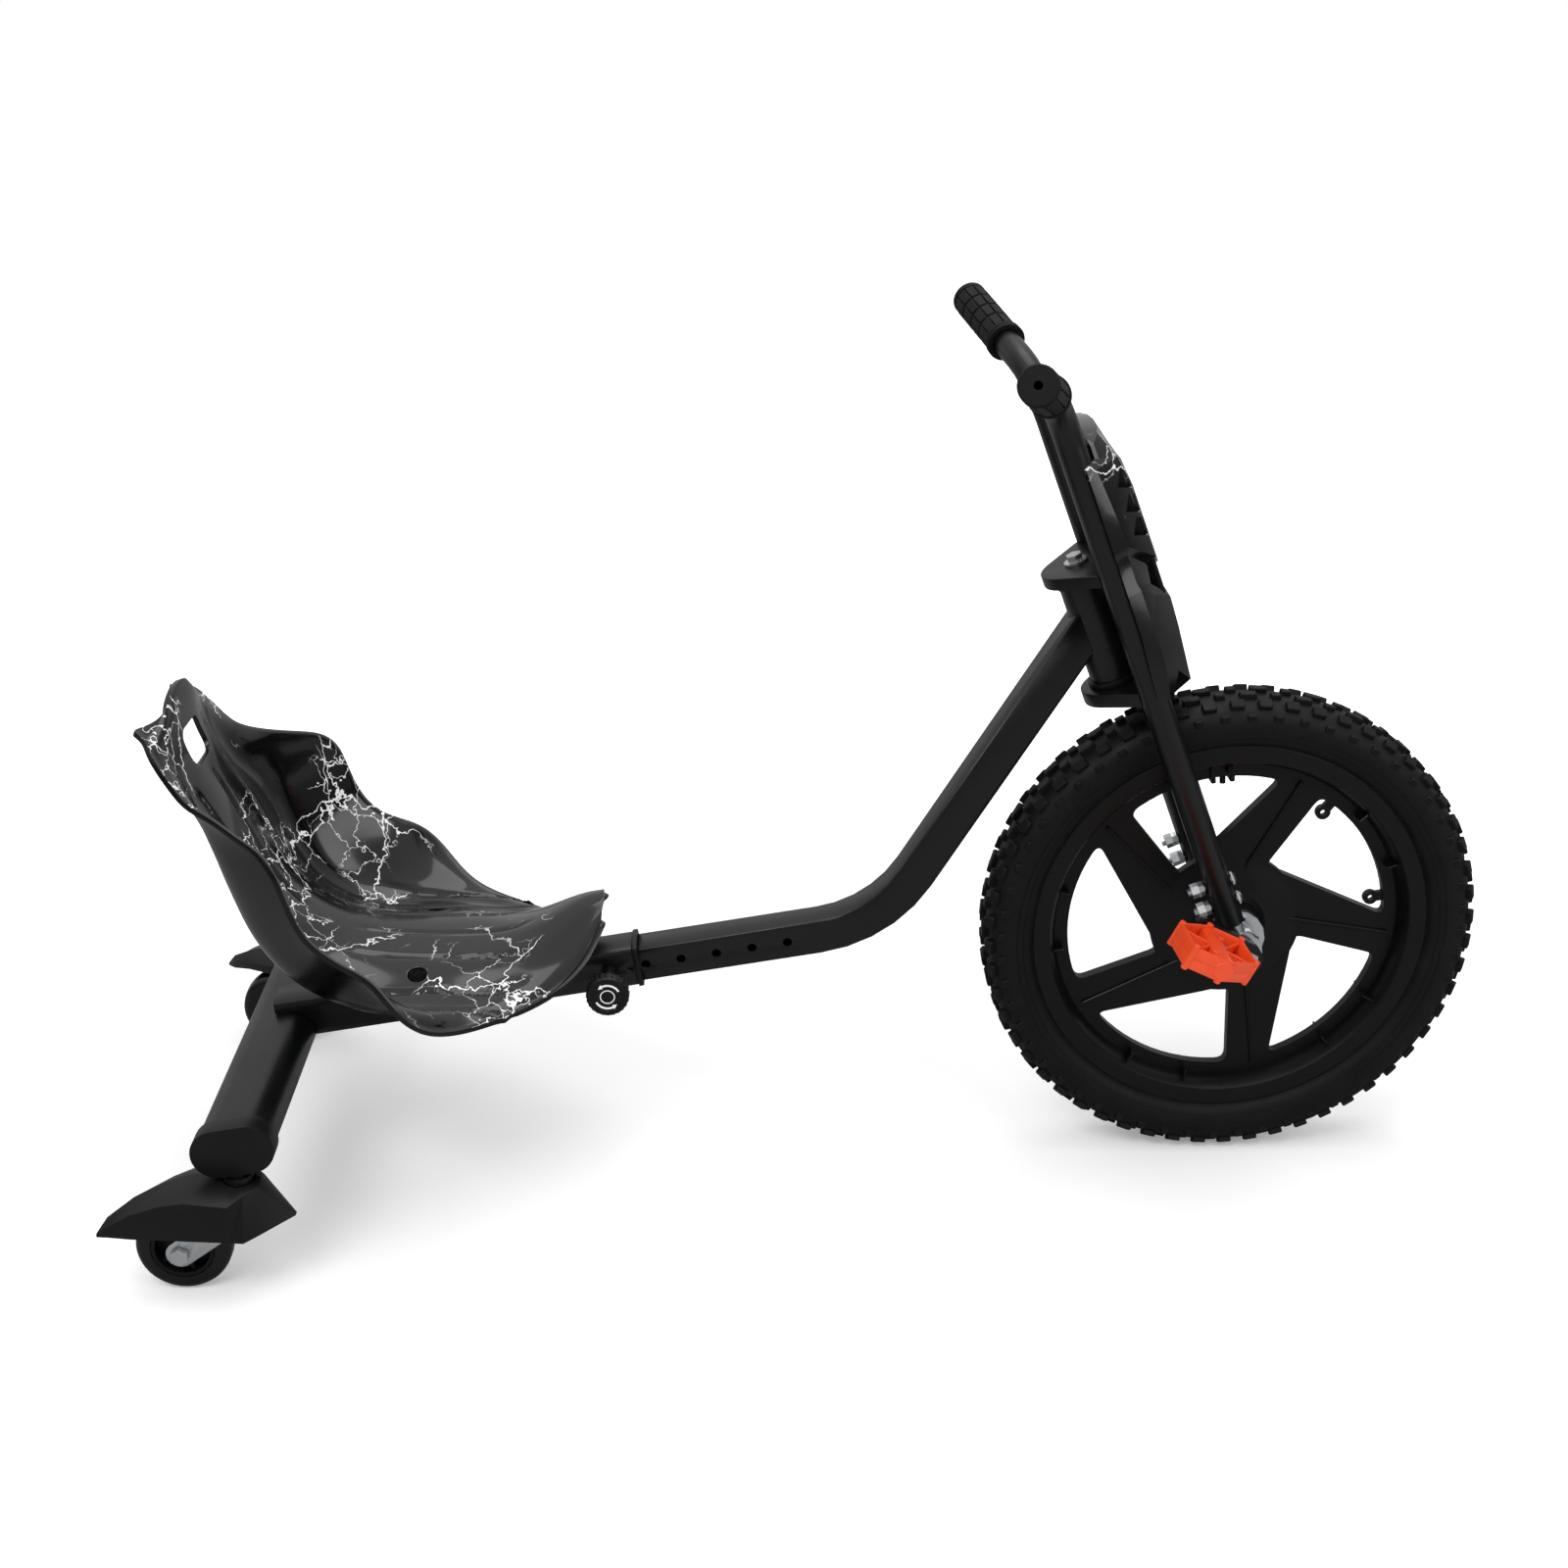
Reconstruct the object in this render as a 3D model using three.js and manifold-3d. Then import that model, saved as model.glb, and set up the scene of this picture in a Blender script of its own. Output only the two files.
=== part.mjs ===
// Drift trike: a pedalled front wheel, a bucket seat and two swivelling caster wheels behind.
// Lengths are millimetres. X runs forward, Y to the rider's left and Z up, with the ground at zero.
// The layout is drawn round the point on the ground below the front axle, then centred.
import * as THREE from 'three';
import { mergeVertices } from 'three/addons/utils/BufferGeometryUtils.js';
import Module from 'manifold-3d';

const wasm = await Module();
wasm.setup();

// Fits and cutters
const clearance = 0.3;
const overrun = 2;

// Where the wheels stand
const tyreRadius = 203;
const casterReach = 780;
const casterSpread = 190;

// Steering geometry: the axis leans back and the wheel sits in front of it
const steeringTiltDeg = 21.2;
const forkOffset = 20;
const legSpread = 50;

// Main tube: a low run, a bend and a high run up to the head tube
const mainTubeSize = 30;
const mainTubeWall = 2;
const mainTubeCorner = 2.5;
const mainSlopeDeg = 9;
const mainRiseDeg = 58.45;
const mainBendRadius = 112;
const mainCornerReach = 285.7;
const mainTailLength = 305;

// Row of adjusting holes in the low run
const adjustHoleRadius = 4;
const adjustPitch = 29.4;
const adjustFirst = 77.8;
const adjustCount = 7;
const adjustPinned = 5;

// Receiver tube that the low run slides in
const receiverWall = 2.5;
const slidingGap = 0.5;
const receiverMouth = 199.8;
const collarLength = 4;
const collarLip = 1.2;
const lockHoleRadius = 2.5;
const lockHoleInset = 8;

// Pull pin with its housing, spring and knob
const pinRadius = 3.4;
const pinBore = 3.9;
const pinHousingRadius = 6.25;
const pinHousingLength = 31;
const pinSpringRadius = 4.9;
const pinSpringLength = 20;
const knobRadius = 17;
const knobThickness = 11;
const knobHubRadius = 8;
const knobHubLength = 3;

// Rear beam, its end caps and the caster sockets
const beamWidth = 58;
const beamHeight = 35;
const beamWall = 2.5;
const beamHalfLength = 197;
const beamCentreHeight = 119.5;
const beamDrop = 9.78;
const capWall = 2.2;
const capEnd = 2.5;
const capSleeve = 14;
const socketRadius = 12;
const socketNeckRadius = 8.5;
const socketBore = 6.3;
const socketBottom = 85.5;
const socketLip = 11;
const socketNeckReach = 9;

// Swivel casters
const casterTrail = 45;
const casterWheelRadius = 36;
const casterTyreHalf = 11;
const casterTyreRound = 6;
const casterCoreRadius = 24;
const casterCoreWall = 3;
const casterHubRadius = 9;
const casterHubHalf = 14.4;
const casterWebHalf = 1.5;
const casterRibCount = 5;
const casterAxleRadius = 4;
const casterArmGap = 14.8;
const casterArmThickness = 2.5;
const casterArmRadius = 11;
const casterPlateTop = 79.5;
const casterPlateThickness = 3;
const casterPlateRadius = 15.8;
const kingpinRadius = 6;
const kingpinLength = 28;
const kingpinFlange = 10;
const axleHeadRadius = 7;
const axleHeadHeight = 4;

// Fender over each caster, swivelling with it: a deep outer wall and a shallow inner one
const fenderHalfWidth = 32;
const fenderTail = 100;
const fenderNose = 40.5;
const fenderBottom = 54;
const fenderHeight = 42;
const fenderWall = 2.5;
const fenderBossRadius = 16.5;
const fenderBossWall = 3;
// Each row: along, then across and up for outer edge, outer shoulder, ridge, inner shoulder, inner edge
const fenderStationShares = [
  [0, -1, 0.204, -1, 0.249, -0.953, 0.267, -0.906, 0.253, -0.906, 0.213],
  [0.054, -1, 0.191, -1, 0.389, -0.781, 0.511, -0.594, 0.367, -0.594, 0.267],
  [0.182, -1, 0.14, -1, 0.633, -0.469, 0.756, -0.062, 0.578, -0.062, 0.433],
  [0.339, -1, 0.111, -1, 0.811, -0.188, 0.922, 0.5, 0.711, 0.5, 0.533],
  [0.468, -1, 0.078, -1, 0.867, 0, 0.982, 0.812, 0.778, 0.812, 0.556],
  [0.696, -1, 0.027, -1, 0.762, 0, 0.991, 0.969, 0.733, 0.969, 0.511],
  [0.761, -1, 0.011, -0.65, 0.827, 0, 0.973, 0.65, 0.818, 0.969, 0.444],
  [0.832, -0.75, 0.047, -0.3, 0.84, 0, 0.907, 0.3, 0.835, 0.75, 0.333],
  [1, -0.069, 0.12, -0.031, 0.147, 0, 0.156, 0.031, 0.147, 0.069, 0.124],
];

// Head tube, headset cups and crowns
const headTubeRadius = 19;
const headTubeWall = 3;
const headTubeBottom = 242;
const headTubeLength = 80;
const cupHeight = 5;
const cupRadius = 21.5;
const cupSkirt = 8;
const steererRadius = 12.7;
const steererWall = 2.5;
const crownNoseRadius = 29;
const crownLegRadius = 10;
const crownLegInset = 3;
const upperCrownThickness = 10;
const lowerCrownThickness = 11.4;
const steererBoltRadius = 4;
const steererBoltLength = 34;
const steererBoltHead = 6.5;
const steererBoltHeadHeight = 5;
const steererWasherRadius = 9.5;
const steererWasherHeight = 2;

// Fork legs that run up into the handlebars
const legRadius = 11.1;
const legWall = 1.6;
const legBottom = 25;
const legCorner = 471.6;
const gripBendRadius = 50;
const gripRiseDeg = 19.5;
const gripSweepDeg = 8;
const barLength = 146;
const gripStart = 64;
const gripLength = 87;
const gripRadius = 14.2;
const gripFlangeRadius = 15.6;
const gripFlangeWidth = 4;
const gripGroove = 2;
const gripRib = 1.2;
const gripRibCount = 6;
const gripEndHole = 3;

// Axle brackets and the bolts that hold them in the legs
const bracketRadius = 17;
const bracketHalf = 8;
const spigotTop = 70;
const legBoltHeights = [44, 62];
const legBoltRadius = 3;
const legBoltHead = 6;
const legBoltDome = 3.5;
const legBoltSaddle = 4;
const legBoltNut = 6;
const legBoltNutHeight = 6;
const legBoltStub = 3;

// Shroud in front of the legs
const shroudBase = 219;
const shroudHeight = 227;
const shroudRear = 3.5;
const shroudCrease = 16;
const shroudEdge = 34;
const shroudNose = 38;
const shroudHalfWidth = 63.5;
const shroudCreaseHalf = 60;
const shroudEdgeHalf = 40;
const shroudWall = 2.5;
// Each row: height, forward swell as a share of the nose, width
const shroudStationShares = [
  [-0.01, -0.10, 0.94],
  [0.11, 0.00, 1.00],
  [0.34, 0.06, 1.00],
  [0.49, 0.06, 1.00],
  [0.76, -0.03, 0.99],
  [0.88, -0.05, 0.97],
  [0.97, -0.26, 0.66],
];
// Side outline: forward reach as a share of the nose, height
const shroudSideShares = [
  [0.04, 0.117], [0.28, 0.002], [0.39, 0.002], [0.95, 0.06], [1.2, 0.06], [1.2, 0.93],
  [0.6, 0.95], [0.28, 0.95], [0.25, 0.905], [0.04, 0.868],
];
// Notch across the front: forward reach as a share of the nose, height
const shroudNotchShares = [
  [0.46, 0.59], [0.36, 0.476], [0.65, 0.435], [0.62, 0.37], [0.82, 0.348], [1.2, 0.343],
  [1.2, 0.493], [0.95, 0.493],
];
const shroudPanelHalf = 36;
const shroudPanelRise = 72;
const shroudPanelHeight = 47;
const shroudPanelThickness = 2.5;
const strapWidth = 12;
const strapThickness = 3;
const strapRises = [47, 185];
const slotCount = 3;
const slotFirstShare = 0.784;
const slotPitchShare = 0.084;
const slotWidth = 7;
const slotHeight = 13;
const slotReach = 28.5;
const slotLeanDeg = 20;

// Front wheel
const tyreHalfWidth = 28;
const tyreWall = 3.6;
const beadRadius = 152.8;
const treadDepth = 4;
const knobPitchCount = 20;
const knobLength = 29;
const knobWidth = 11;
const shoulderKnobWidth = 10;
const shoulderKnobDrop = 4.5;
const knobSink = 2.5;
const shoulderKnobTiltDeg = 32;
const knobRowShares = [0.27, 0.74];
// Casing section: rise from bead to tread, half width
const casingShares = [
  [0, 0.59], [0.227, 0.60], [0.42, 0.94], [0.64, 1], [0.85, 0.86], [0.96, 0.5], [1, 0],
];
const rimFlangeRadius = 162.7;
const rimSeatRadius = 152.5;
const rimInnerRadius = 149;
const rimHalfWidth = 19.6;
const rimFlangeWall = 2.2;
const rimWebHalf = 4;
const rimRootRadius = 141;
const rimHubRadius = 24;
const rimHubHalf = 29.4;
const windowCount = 5;
const windowHubRadius = 58.5;
const windowOuterRadius = 131;
const windowHubDeg = 61.2;
const windowStartDeg = 2.6;
const windowEndDeg = 58.9;
const windowCornerRadius = 8;
const valveDeg = 95.5;
const valveRadius = 2.5;
const valveTip = 124;
const valveHeadRadius = 4.5;
const valveHeadHeight = 2;

// Axle, hub discs and cranks
const axleRadius = 6;
const hubDiscRadius = 25;
const hubDiscThickness = 4;
const hubSleeveRadius = 12;
const hubSlotCount = 5;
const hubSlotRadius = 2.2;
const hubSlotCircle = 18;
const crankAcross = 36.5;
const crankRise = 26;
const crankInner = 64;
const crankThickness = 9;
const crankBossRadius = 14;
const crankTipRadius = 10;
const spindleRadius = 5;
const crankCapHeight = 3;

// Pedals
const pedalInner = 76;
const pedalOuter = 143;
const pedalThickness = 18;
const pedalWall = 4;
const pedalBossRadius = 8.5;
const pedalPitchDeg = 26.6;
const pedalHalfLength = 33;
const studRadius = 2.6;
const studHeight = 22;
// Half of the plan, the rest is its half turn: forward share, outward share
const pedalPlanShares = [[-0.91, -1], [0, -0.97], [1, -0.18]];

// Bucket seat
const seatOverhang = 80;
const seatLength = 348;
const seatFloorRise = 6.8;
const seatHeight = 244;
const seatHalfWidth = 150;
const seatWall = 4;
const seatLip = 5;
const seatRunCount = 8;
// Each row: centre along and up, rim along and up, half width, power, channel depth
const seatStationShares = [
  [0.037, 0.955, 0.001, 0.926, 0.367, 2.0, 0.000],
  [0.069, 0.881, 0.029, 0.893, 0.427, 2.2, 0.000],
  [0.092, 0.807, 0.059, 0.850, 0.493, 2.5, 0.008],
  [0.118, 0.730, 0.107, 0.746, 0.533, 3.0, 0.025],
  [0.136, 0.668, 0.133, 0.708, 0.567, 3.5, 0.033],
  [0.158, 0.607, 0.187, 0.680, 0.613, 4.0, 0.037],
  [0.174, 0.557, 0.247, 0.646, 0.733, 4.0, 0.041],
  [0.187, 0.514, 0.304, 0.621, 0.820, 4.0, 0.045],
  [0.201, 0.467, 0.339, 0.559, 0.880, 4.0, 0.049],
  [0.227, 0.381, 0.357, 0.457, 0.880, 4.0, 0.057],
  [0.259, 0.287, 0.385, 0.352, 0.893, 4.0, 0.070],
  [0.316, 0.189, 0.432, 0.291, 0.900, 4.0, 0.094],
  [0.397, 0.127, 0.468, 0.266, 0.930, 4.5, 0.111],
  [0.489, 0.101, 0.529, 0.227, 0.953, 5.0, 0.111],
  [0.601, 0.094, 0.575, 0.133, 1.000, 5.0, 0.082],
  [0.667, 0.092, 0.626, 0.037, 0.940, 3.5, 0.057],
  [0.739, 0.094, 0.695, 0.004, 0.827, 2.6, 0.045],
  [0.796, 0.115, 0.776, 0.002, 0.693, 2.2, 0.033],
  [0.853, 0.148, 0.842, 0.003, 0.560, 2.2, 0.020],
  [0.905, 0.193, 0.905, 0.020, 0.427, 2.2, 0.008],
  [0.960, 0.225, 0.963, 0.090, 0.307, 2.2, 0.000],
  [1.000, 0.238, 0.997, 0.180, 0.160, 2.2, 0.000],
];
const channelEndShare = 0.92;
const handHoleHeight = 194;
const handHoleWidth = 40;
const handHoleDepth = 30;
const handHoleCorner = 8;
const seatBoltSpread = 60;
const seatBoltLead = 132.5;
const seatBossRadius = 11.5;
const seatRecessRadius = 8;
const seatRecessFloor = 5;
const seatBossRoom = 45;
const seatBoltRadius = 3;
const seatBoltHead = 6.5;
const seatBoltHeadHeight = 5;
const seatBoltNutHeight = 5;
const seatPlateLength = 44;
const seatPlateHalf = 78;
const seatPlateThickness = 3;

// How finely round things are faceted
const tyreSides = 40;
const wheelSides = 40;
const roundSides = 16;
const smallSides = 12;
const holeSides = 8;
const hexSides = 6;
const bendSteps = 5;
const arcSteps = 4;

// Finishes
const powderBlack = { color: 0x1a1b1d, roughness: 0.42, metalness: 0.3 };
const glossBlack = { color: 0x121315, roughness: 0.18, metalness: 0 };
const mattBlack = { color: 0x202123, roughness: 0.6, metalness: 0 };
const rubberBlack = { color: 0x17181a, roughness: 0.8, metalness: 0 };
const zincSilver = { color: 0xb9bcc0, roughness: 0.35, metalness: 0.9 };
const pedalOrange = { color: 0xf0441f, roughness: 0.4, metalness: 0 };

const degree = Math.PI / 180;
const quarterTurn = Math.PI / 2;

// Shape helpers

function cleaned(geometry) {
  const bare = geometry.clone();
  bare.deleteAttribute('normal');
  bare.deleteAttribute('uv');
  const merged = mergeVertices(bare);
  const kept = [];
  const index = merged.index.array;
  for (let corner = 0; corner < index.length; corner += 3) {
    const [a, b, c] = index.slice(corner, corner + 3);
    if (a !== b && b !== c && c !== a) kept.push(a, b, c);
  }
  merged.setIndex(kept);
  return merged;
}

function toSolid(geometry) {
  const clean = cleaned(geometry);
  const vertProperties = new Float32Array(clean.attributes.position.array);
  const triVerts = new Uint32Array(clean.index.array);
  return new wasm.Manifold(new wasm.Mesh({ numProp: 3, vertProperties, triVerts }));
}

function toGeometry(solid) {
  const mesh = solid.getMesh();
  const geometry = new THREE.BufferGeometry();
  geometry.setAttribute('position', new THREE.BufferAttribute(mesh.vertProperties, 3));
  geometry.setIndex(new THREE.BufferAttribute(mesh.triVerts, 1));
  return geometry;
}

function join(first, ...others) {
  return toGeometry(others.reduce((sum, next) => sum.add(toSolid(next)), toSolid(first)));
}

function cut(body, ...tools) {
  return toGeometry(tools.reduce((sum, tool) => sum.subtract(toSolid(tool)), toSolid(body)));
}

function shared(first, second) {
  return toGeometry(toSolid(first).intersect(toSolid(second)));
}

// Turns triangles round where a closed body would otherwise face inwards
function facingOut(geometry) {
  const clean = cleaned(geometry);
  const places = clean.attributes.position;
  const index = Array.from(clean.index.array);
  const corners = [new THREE.Vector3(), new THREE.Vector3(), new THREE.Vector3()];
  let volume = 0;
  for (let start = 0; start < index.length; start += 3) {
    corners.forEach((corner, step) => corner.fromBufferAttribute(places, index[start + step]));
    volume += corners[0].dot(corners[1].clone().cross(corners[2]));
  }
  if (volume < 0) index.reverse();
  clean.setIndex(index);
  return clean;
}

// A round bar standing on zero along Z
function rod(radius, length, sides = roundSides) {
  const bar = new THREE.CylinderGeometry(radius, radius, length, sides);
  return bar.rotateX(quarterTurn).translate(0, 0, length / 2);
}

// A round bar along Y from one place to another
function crossRod(radius, from, to, sides = roundSides) {
  const bar = new THREE.CylinderGeometry(radius, radius, Math.abs(to - from), sides);
  return bar.translate(0, (from + to) / 2, 0);
}

// A profile of radius and height turned about Z
function turned(profile, sides = roundSides) {
  const points = profile.map(([radius, height]) => new THREE.Vector2(radius, height));
  return facingOut(new THREE.LatheGeometry(points, sides).rotateX(quarterTurn));
}

// The same turned about Y, for what sits on an axle
function turnedOnAxle(profile, sides = roundSides) {
  return turned(profile, sides).rotateX(-quarterTurn);
}

// A plain ring from one height to another
function ring(outer, inner, bottom, top, sides = roundSides) {
  const profile = [[inner, bottom], [outer, bottom], [outer, top], [inner, top], [inner, bottom]];
  return turned(profile, sides);
}

function outline(points) {
  return new THREE.Shape(points.map(([across, up]) => new THREE.Vector2(across, up)));
}

// A rectangle with rounded corners, centred
function roundedBox(width, height, radius) {
  const right = width / 2 - radius;
  const top = height / 2 - radius;
  const shape = new THREE.Shape();
  shape.absarc(right, top, radius, 0, quarterTurn);
  shape.absarc(-right, top, radius, quarterTurn, Math.PI);
  shape.absarc(-right, -top, radius, Math.PI, Math.PI + quarterTurn);
  shape.absarc(right, -top, radius, Math.PI + quarterTurn, 2 * Math.PI);
  return shape;
}

function circle(radius) {
  return new THREE.Shape().absarc(0, 0, radius, 0, 2 * Math.PI);
}

function hollow(outer, inner) {
  outer.holes.push(inner);
  return outer;
}

// An outline drawn tight round discs of place and radius
function strap(discs, sides = roundSides) {
  const points = [];
  for (const [across, up, radius] of discs) {
    for (let step = 0; step < sides; step += 1) {
      const angle = (step / sides) * 2 * Math.PI;
      points.push([across + radius * Math.cos(angle), up + radius * Math.sin(angle)]);
    }
  }
  points.sort((a, b) => a[0] - b[0] || a[1] - b[1]);
  const lower = hullSide(points);
  const upper = hullSide(points.reverse());
  return outline([...lower.slice(0, -1), ...upper.slice(0, -1)]);
}

function hullSide(points) {
  const side = [];
  for (const point of points) {
    while (side.length > 1 && !turnsLeft(side.at(-2), side.at(-1), point)) side.pop();
    side.push(point);
  }
  return side;
}

function turnsLeft(a, b, c) {
  return (b[0] - a[0]) * (c[1] - a[1]) - (b[1] - a[1]) * (c[0] - a[0]) > 0;
}

// An outline in X and Y raised from zero
function slab(shape, depth, curveSegments = arcSteps) {
  return new THREE.ExtrudeGeometry(shape, { depth, bevelEnabled: false, curveSegments });
}

// An outline in X and Z, from one place along Y to another
function sideSlab(shape, from, to, curveSegments = arcSteps) {
  const depth = Math.abs(to - from);
  return slab(shape, depth, curveSegments).rotateX(quarterTurn).translate(0, Math.max(from, to), 0);
}

// An outline in Y and Z, from one place along X to another
function endSlab(shape, from, to, curveSegments = arcSteps) {
  const depth = Math.abs(to - from);
  const body = slab(shape, depth, curveSegments).rotateX(quarterTurn).rotateZ(quarterTurn);
  return body.translate(Math.min(from, to), 0, 0);
}

function block(lengthX, lengthY, lengthZ) {
  return new THREE.BoxGeometry(lengthX, lengthY, lengthZ);
}

// A straight run, a round bend and a second straight run, with a ring only where one is needed
class BentPath extends THREE.Curve {
  constructor(start, corner, end, radius, steps) {
    super();
    const inward = corner.clone().sub(start).normalize();
    const outward = end.clone().sub(corner).normalize();
    const turn = inward.angleTo(outward);
    const side = outward.clone().addScaledVector(inward, -Math.cos(turn)).normalize();
    const tangentLength = radius * Math.tan(turn / 2);
    const centre = corner.clone().addScaledVector(inward, -tangentLength);
    centre.addScaledVector(side, radius);
    this.stations = [{ place: start, heading: inward }];
    for (let step = 0; step <= steps; step += 1) {
      const angle = (turn * step) / steps;
      const place = centre.clone().addScaledVector(side, -radius * Math.cos(angle));
      place.addScaledVector(inward, radius * Math.sin(angle));
      const heading = inward.clone().multiplyScalar(Math.cos(angle));
      heading.addScaledVector(side, Math.sin(angle));
      this.stations.push({ place, heading });
    }
    this.stations.push({ place: end, heading: outward });
    this.steps = this.stations.length - 1;
  }

  getPointAt(share) {
    return this.stations[Math.round(share * this.steps)].place.clone();
  }

  getTangentAt(share) {
    return this.stations[Math.round(share * this.steps)].heading.clone();
  }
}

function alongPath(shape, path, curveSegments) {
  const options = { steps: path.steps, extrudePath: path, curveSegments };
  return facingOut(new THREE.ExtrudeGeometry(shape, options));
}

// A skin over rings of as many points each, closed by flat ends that bulge outwards
function loft(rings) {
  const count = rings[0].length;
  const places = rings.flat().flatMap((point) => point.toArray());
  const index = [];
  for (let row = 0; row < rings.length - 1; row += 1) {
    for (let step = 0; step < count; step += 1) {
      const next = (step + 1) % count;
      const here = row * count;
      const above = here + count;
      index.push(here + step, here + next, above + next);
      index.push(here + step, above + next, above + step);
    }
  }
  const last = (rings.length - 1) * count;
  for (let step = 1; step < count - 1; step += 1) {
    index.push(0, step + 1, step);
    index.push(last, last + step, last + step + 1);
  }
  const geometry = new THREE.BufferGeometry();
  geometry.setAttribute('position', new THREE.Float32BufferAttribute(places, 3));
  geometry.setIndex(index);
  return facingOut(geometry);
}

function mirrored(side) {
  return side < 0 ? 'right' : 'left';
}

function addPart(group, name, geometry, finish) {
  const mesh = new THREE.Mesh(geometry, new THREE.MeshStandardMaterial(finish));
  mesh.name = name;
  group.add(mesh);
  return mesh;
}

// Frames of reference

const steeringTilt = steeringTiltDeg * degree;
const mainSlope = mainSlopeDeg * degree;
const mainRise = mainRiseDeg * degree;
const forwardReach = tyreRadius;
const rearReach = casterReach + fenderTail;
const steeringHeight = tyreRadius - forkOffset * Math.sin(steeringTilt);
const steeringSetback = forkOffset * Math.cos(steeringTilt);
const beamAlong = (casterReach - mainCornerReach) / Math.cos(mainSlope);
const beamRun = beamAlong + beamDrop * Math.tan(mainSlope);
const mainCornerHeight = beamCentreHeight + beamRun * Math.sin(mainSlope) + beamDrop * Math.cos(mainSlope);
const pinRun = adjustFirst + adjustPitch * adjustPinned;
const receiverTop = mainTubeSize / 2 + slidingGap + receiverWall;
const seatPlateTop = receiverTop + seatPlateThickness + 2 * clearance;
const seatBoltRun = beamRun - seatBoltLead;
const seatBoltHeight = mainCornerHeight - seatBoltRun * Math.sin(mainSlope) + seatPlateTop * Math.cos(mainSlope);
const seatRear = casterReach + seatOverhang;
const seatBase = seatBoltHeight + seatFloorRise;

const trike = new THREE.Group();
const layout = new THREE.Group();
layout.position.x = (rearReach - forwardReach) / 2;
trike.add(layout);

// Low run of the main tube: X along it, forwards from its corner
const slope = new THREE.Group();
slope.position.set(-mainCornerReach, 0, mainCornerHeight);
slope.rotation.y = -mainSlope;
layout.add(slope);

// Steering axis: Z up along it, from level with the front axle
const steering = new THREE.Group();
steering.position.set(-steeringSetback, 0, steeringHeight);
steering.rotation.y = -steeringTilt;
layout.add(steering);

// Front axle, with Y along it
const wheel = new THREE.Group();
wheel.position.z = tyreRadius;
layout.add(wheel);

function fromSlope(geometry) {
  return geometry.rotateY(-mainSlope).translate(-mainCornerReach, 0, mainCornerHeight);
}

function fromSteering(geometry) {
  return geometry.rotateY(-steeringTilt).translate(-steeringSetback, 0, steeringHeight);
}

// Main tube and head tube

function squareTube(size, wall, corner) {
  const bore = size - 2 * wall;
  return hollow(roundedBox(size, size, corner), roundedBox(bore, bore, Math.max(corner - wall, wall / 4)));
}

function mainTube() {
  const corner = new THREE.Vector3(-mainCornerReach, 0, mainCornerHeight);
  const tail = corner.clone();
  tail.add(new THREE.Vector3(-Math.cos(mainSlope), 0, -Math.sin(mainSlope)).multiplyScalar(mainTailLength));
  const rise = new THREE.Vector3(Math.cos(mainRise), 0, Math.sin(mainRise));
  const lean = new THREE.Vector3(-Math.sin(steeringTilt), 0, Math.cos(steeringTilt));
  const headRun = (mainCornerReach - steeringSetback) * lean.z + (steeringHeight - mainCornerHeight) * -lean.x;
  const head = corner.clone().addScaledVector(rise, headRun / (rise.x * lean.z - rise.z * lean.x));
  const path = new BentPath(tail, corner, head, mainBendRadius, bendSteps);
  const tube = alongPath(squareTube(mainTubeSize, mainTubeWall, mainTubeCorner), path, 1);
  const headCutter = rod(headTubeRadius + clearance, headTubeLength + overrun);
  fromSteering(headCutter.translate(0, 0, headTubeBottom));
  const holes = [];
  for (let count = 0; count < adjustCount; count += 1) {
    const reach = adjustFirst + adjustPitch * count;
    const hole = crossRod(adjustHoleRadius, -mainTubeSize, mainTubeSize, holeSides);
    holes.push(fromSlope(hole.translate(-reach, 0, 0)));
  }
  return cut(tube, headCutter, ...holes);
}

function headTube() {
  const top = headTubeBottom + headTubeLength;
  return ring(headTubeRadius, headTubeRadius - headTubeWall, headTubeBottom, top);
}

// Flanged cup with a skirt inside the head tube, for either end
function headsetCup(mouth, upwards) {
  const way = upwards ? 1 : -1;
  const bore = steererRadius + clearance;
  const skirt = headTubeRadius - headTubeWall - clearance;
  const seat = mouth + way * clearance;
  const outer = mouth + way * cupHeight;
  const deep = mouth - way * cupSkirt;
  return turned([
    [bore, deep], [skirt, deep], [skirt, seat], [cupRadius, seat],
    [cupRadius, outer], [bore, outer], [bore, deep],
  ]);
}

function buildFrontFrame() {
  addPart(layout, 'main_tube', mainTube(), powderBlack);
  addPart(steering, 'head_tube', headTube(), powderBlack);
  addPart(steering, 'headset_cup_lower', headsetCup(headTubeBottom, false), mattBlack);
  addPart(steering, 'headset_cup_upper', headsetCup(headTubeBottom + headTubeLength, true), mattBlack);
}

// Receiver, pin and knob

function receiverTube() {
  const bore = mainTubeSize + 2 * slidingGap;
  const size = bore + 2 * receiverWall;
  const corner = mainTubeCorner + slidingGap + receiverWall;
  const section = hollow(roundedBox(size, size, corner), roundedBox(bore, bore, mainTubeCorner));
  const mouth = receiverMouth + collarLength + clearance;
  const tube = endSlab(section, -beamRun, -mouth, 1);
  const beam = beamSolid(beamWidth + 2 * clearance, beamHeight + 2 * clearance, size);
  const pinHole = crossRod(pinBore, 0, -size, holeSides).translate(-pinRun, 0, 0);
  const lockHole = crossRod(lockHoleRadius, 0, -size, holeSides);
  lockHole.translate(-receiverMouth - lockHoleInset, 0, 0);
  return cut(tube, beam.translate(-beamRun, 0, -beamDrop), pinHole, lockHole);
}

function receiverCollar() {
  const bore = mainTubeSize + 2 * slidingGap;
  const size = bore + 2 * (receiverWall + collarLip);
  const corner = mainTubeCorner + slidingGap + receiverWall;
  const section = hollow(roundedBox(size, size, corner), roundedBox(bore, bore, mainTubeCorner));
  return endSlab(section, -receiverMouth - collarLength, -receiverMouth, 1);
}

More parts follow.
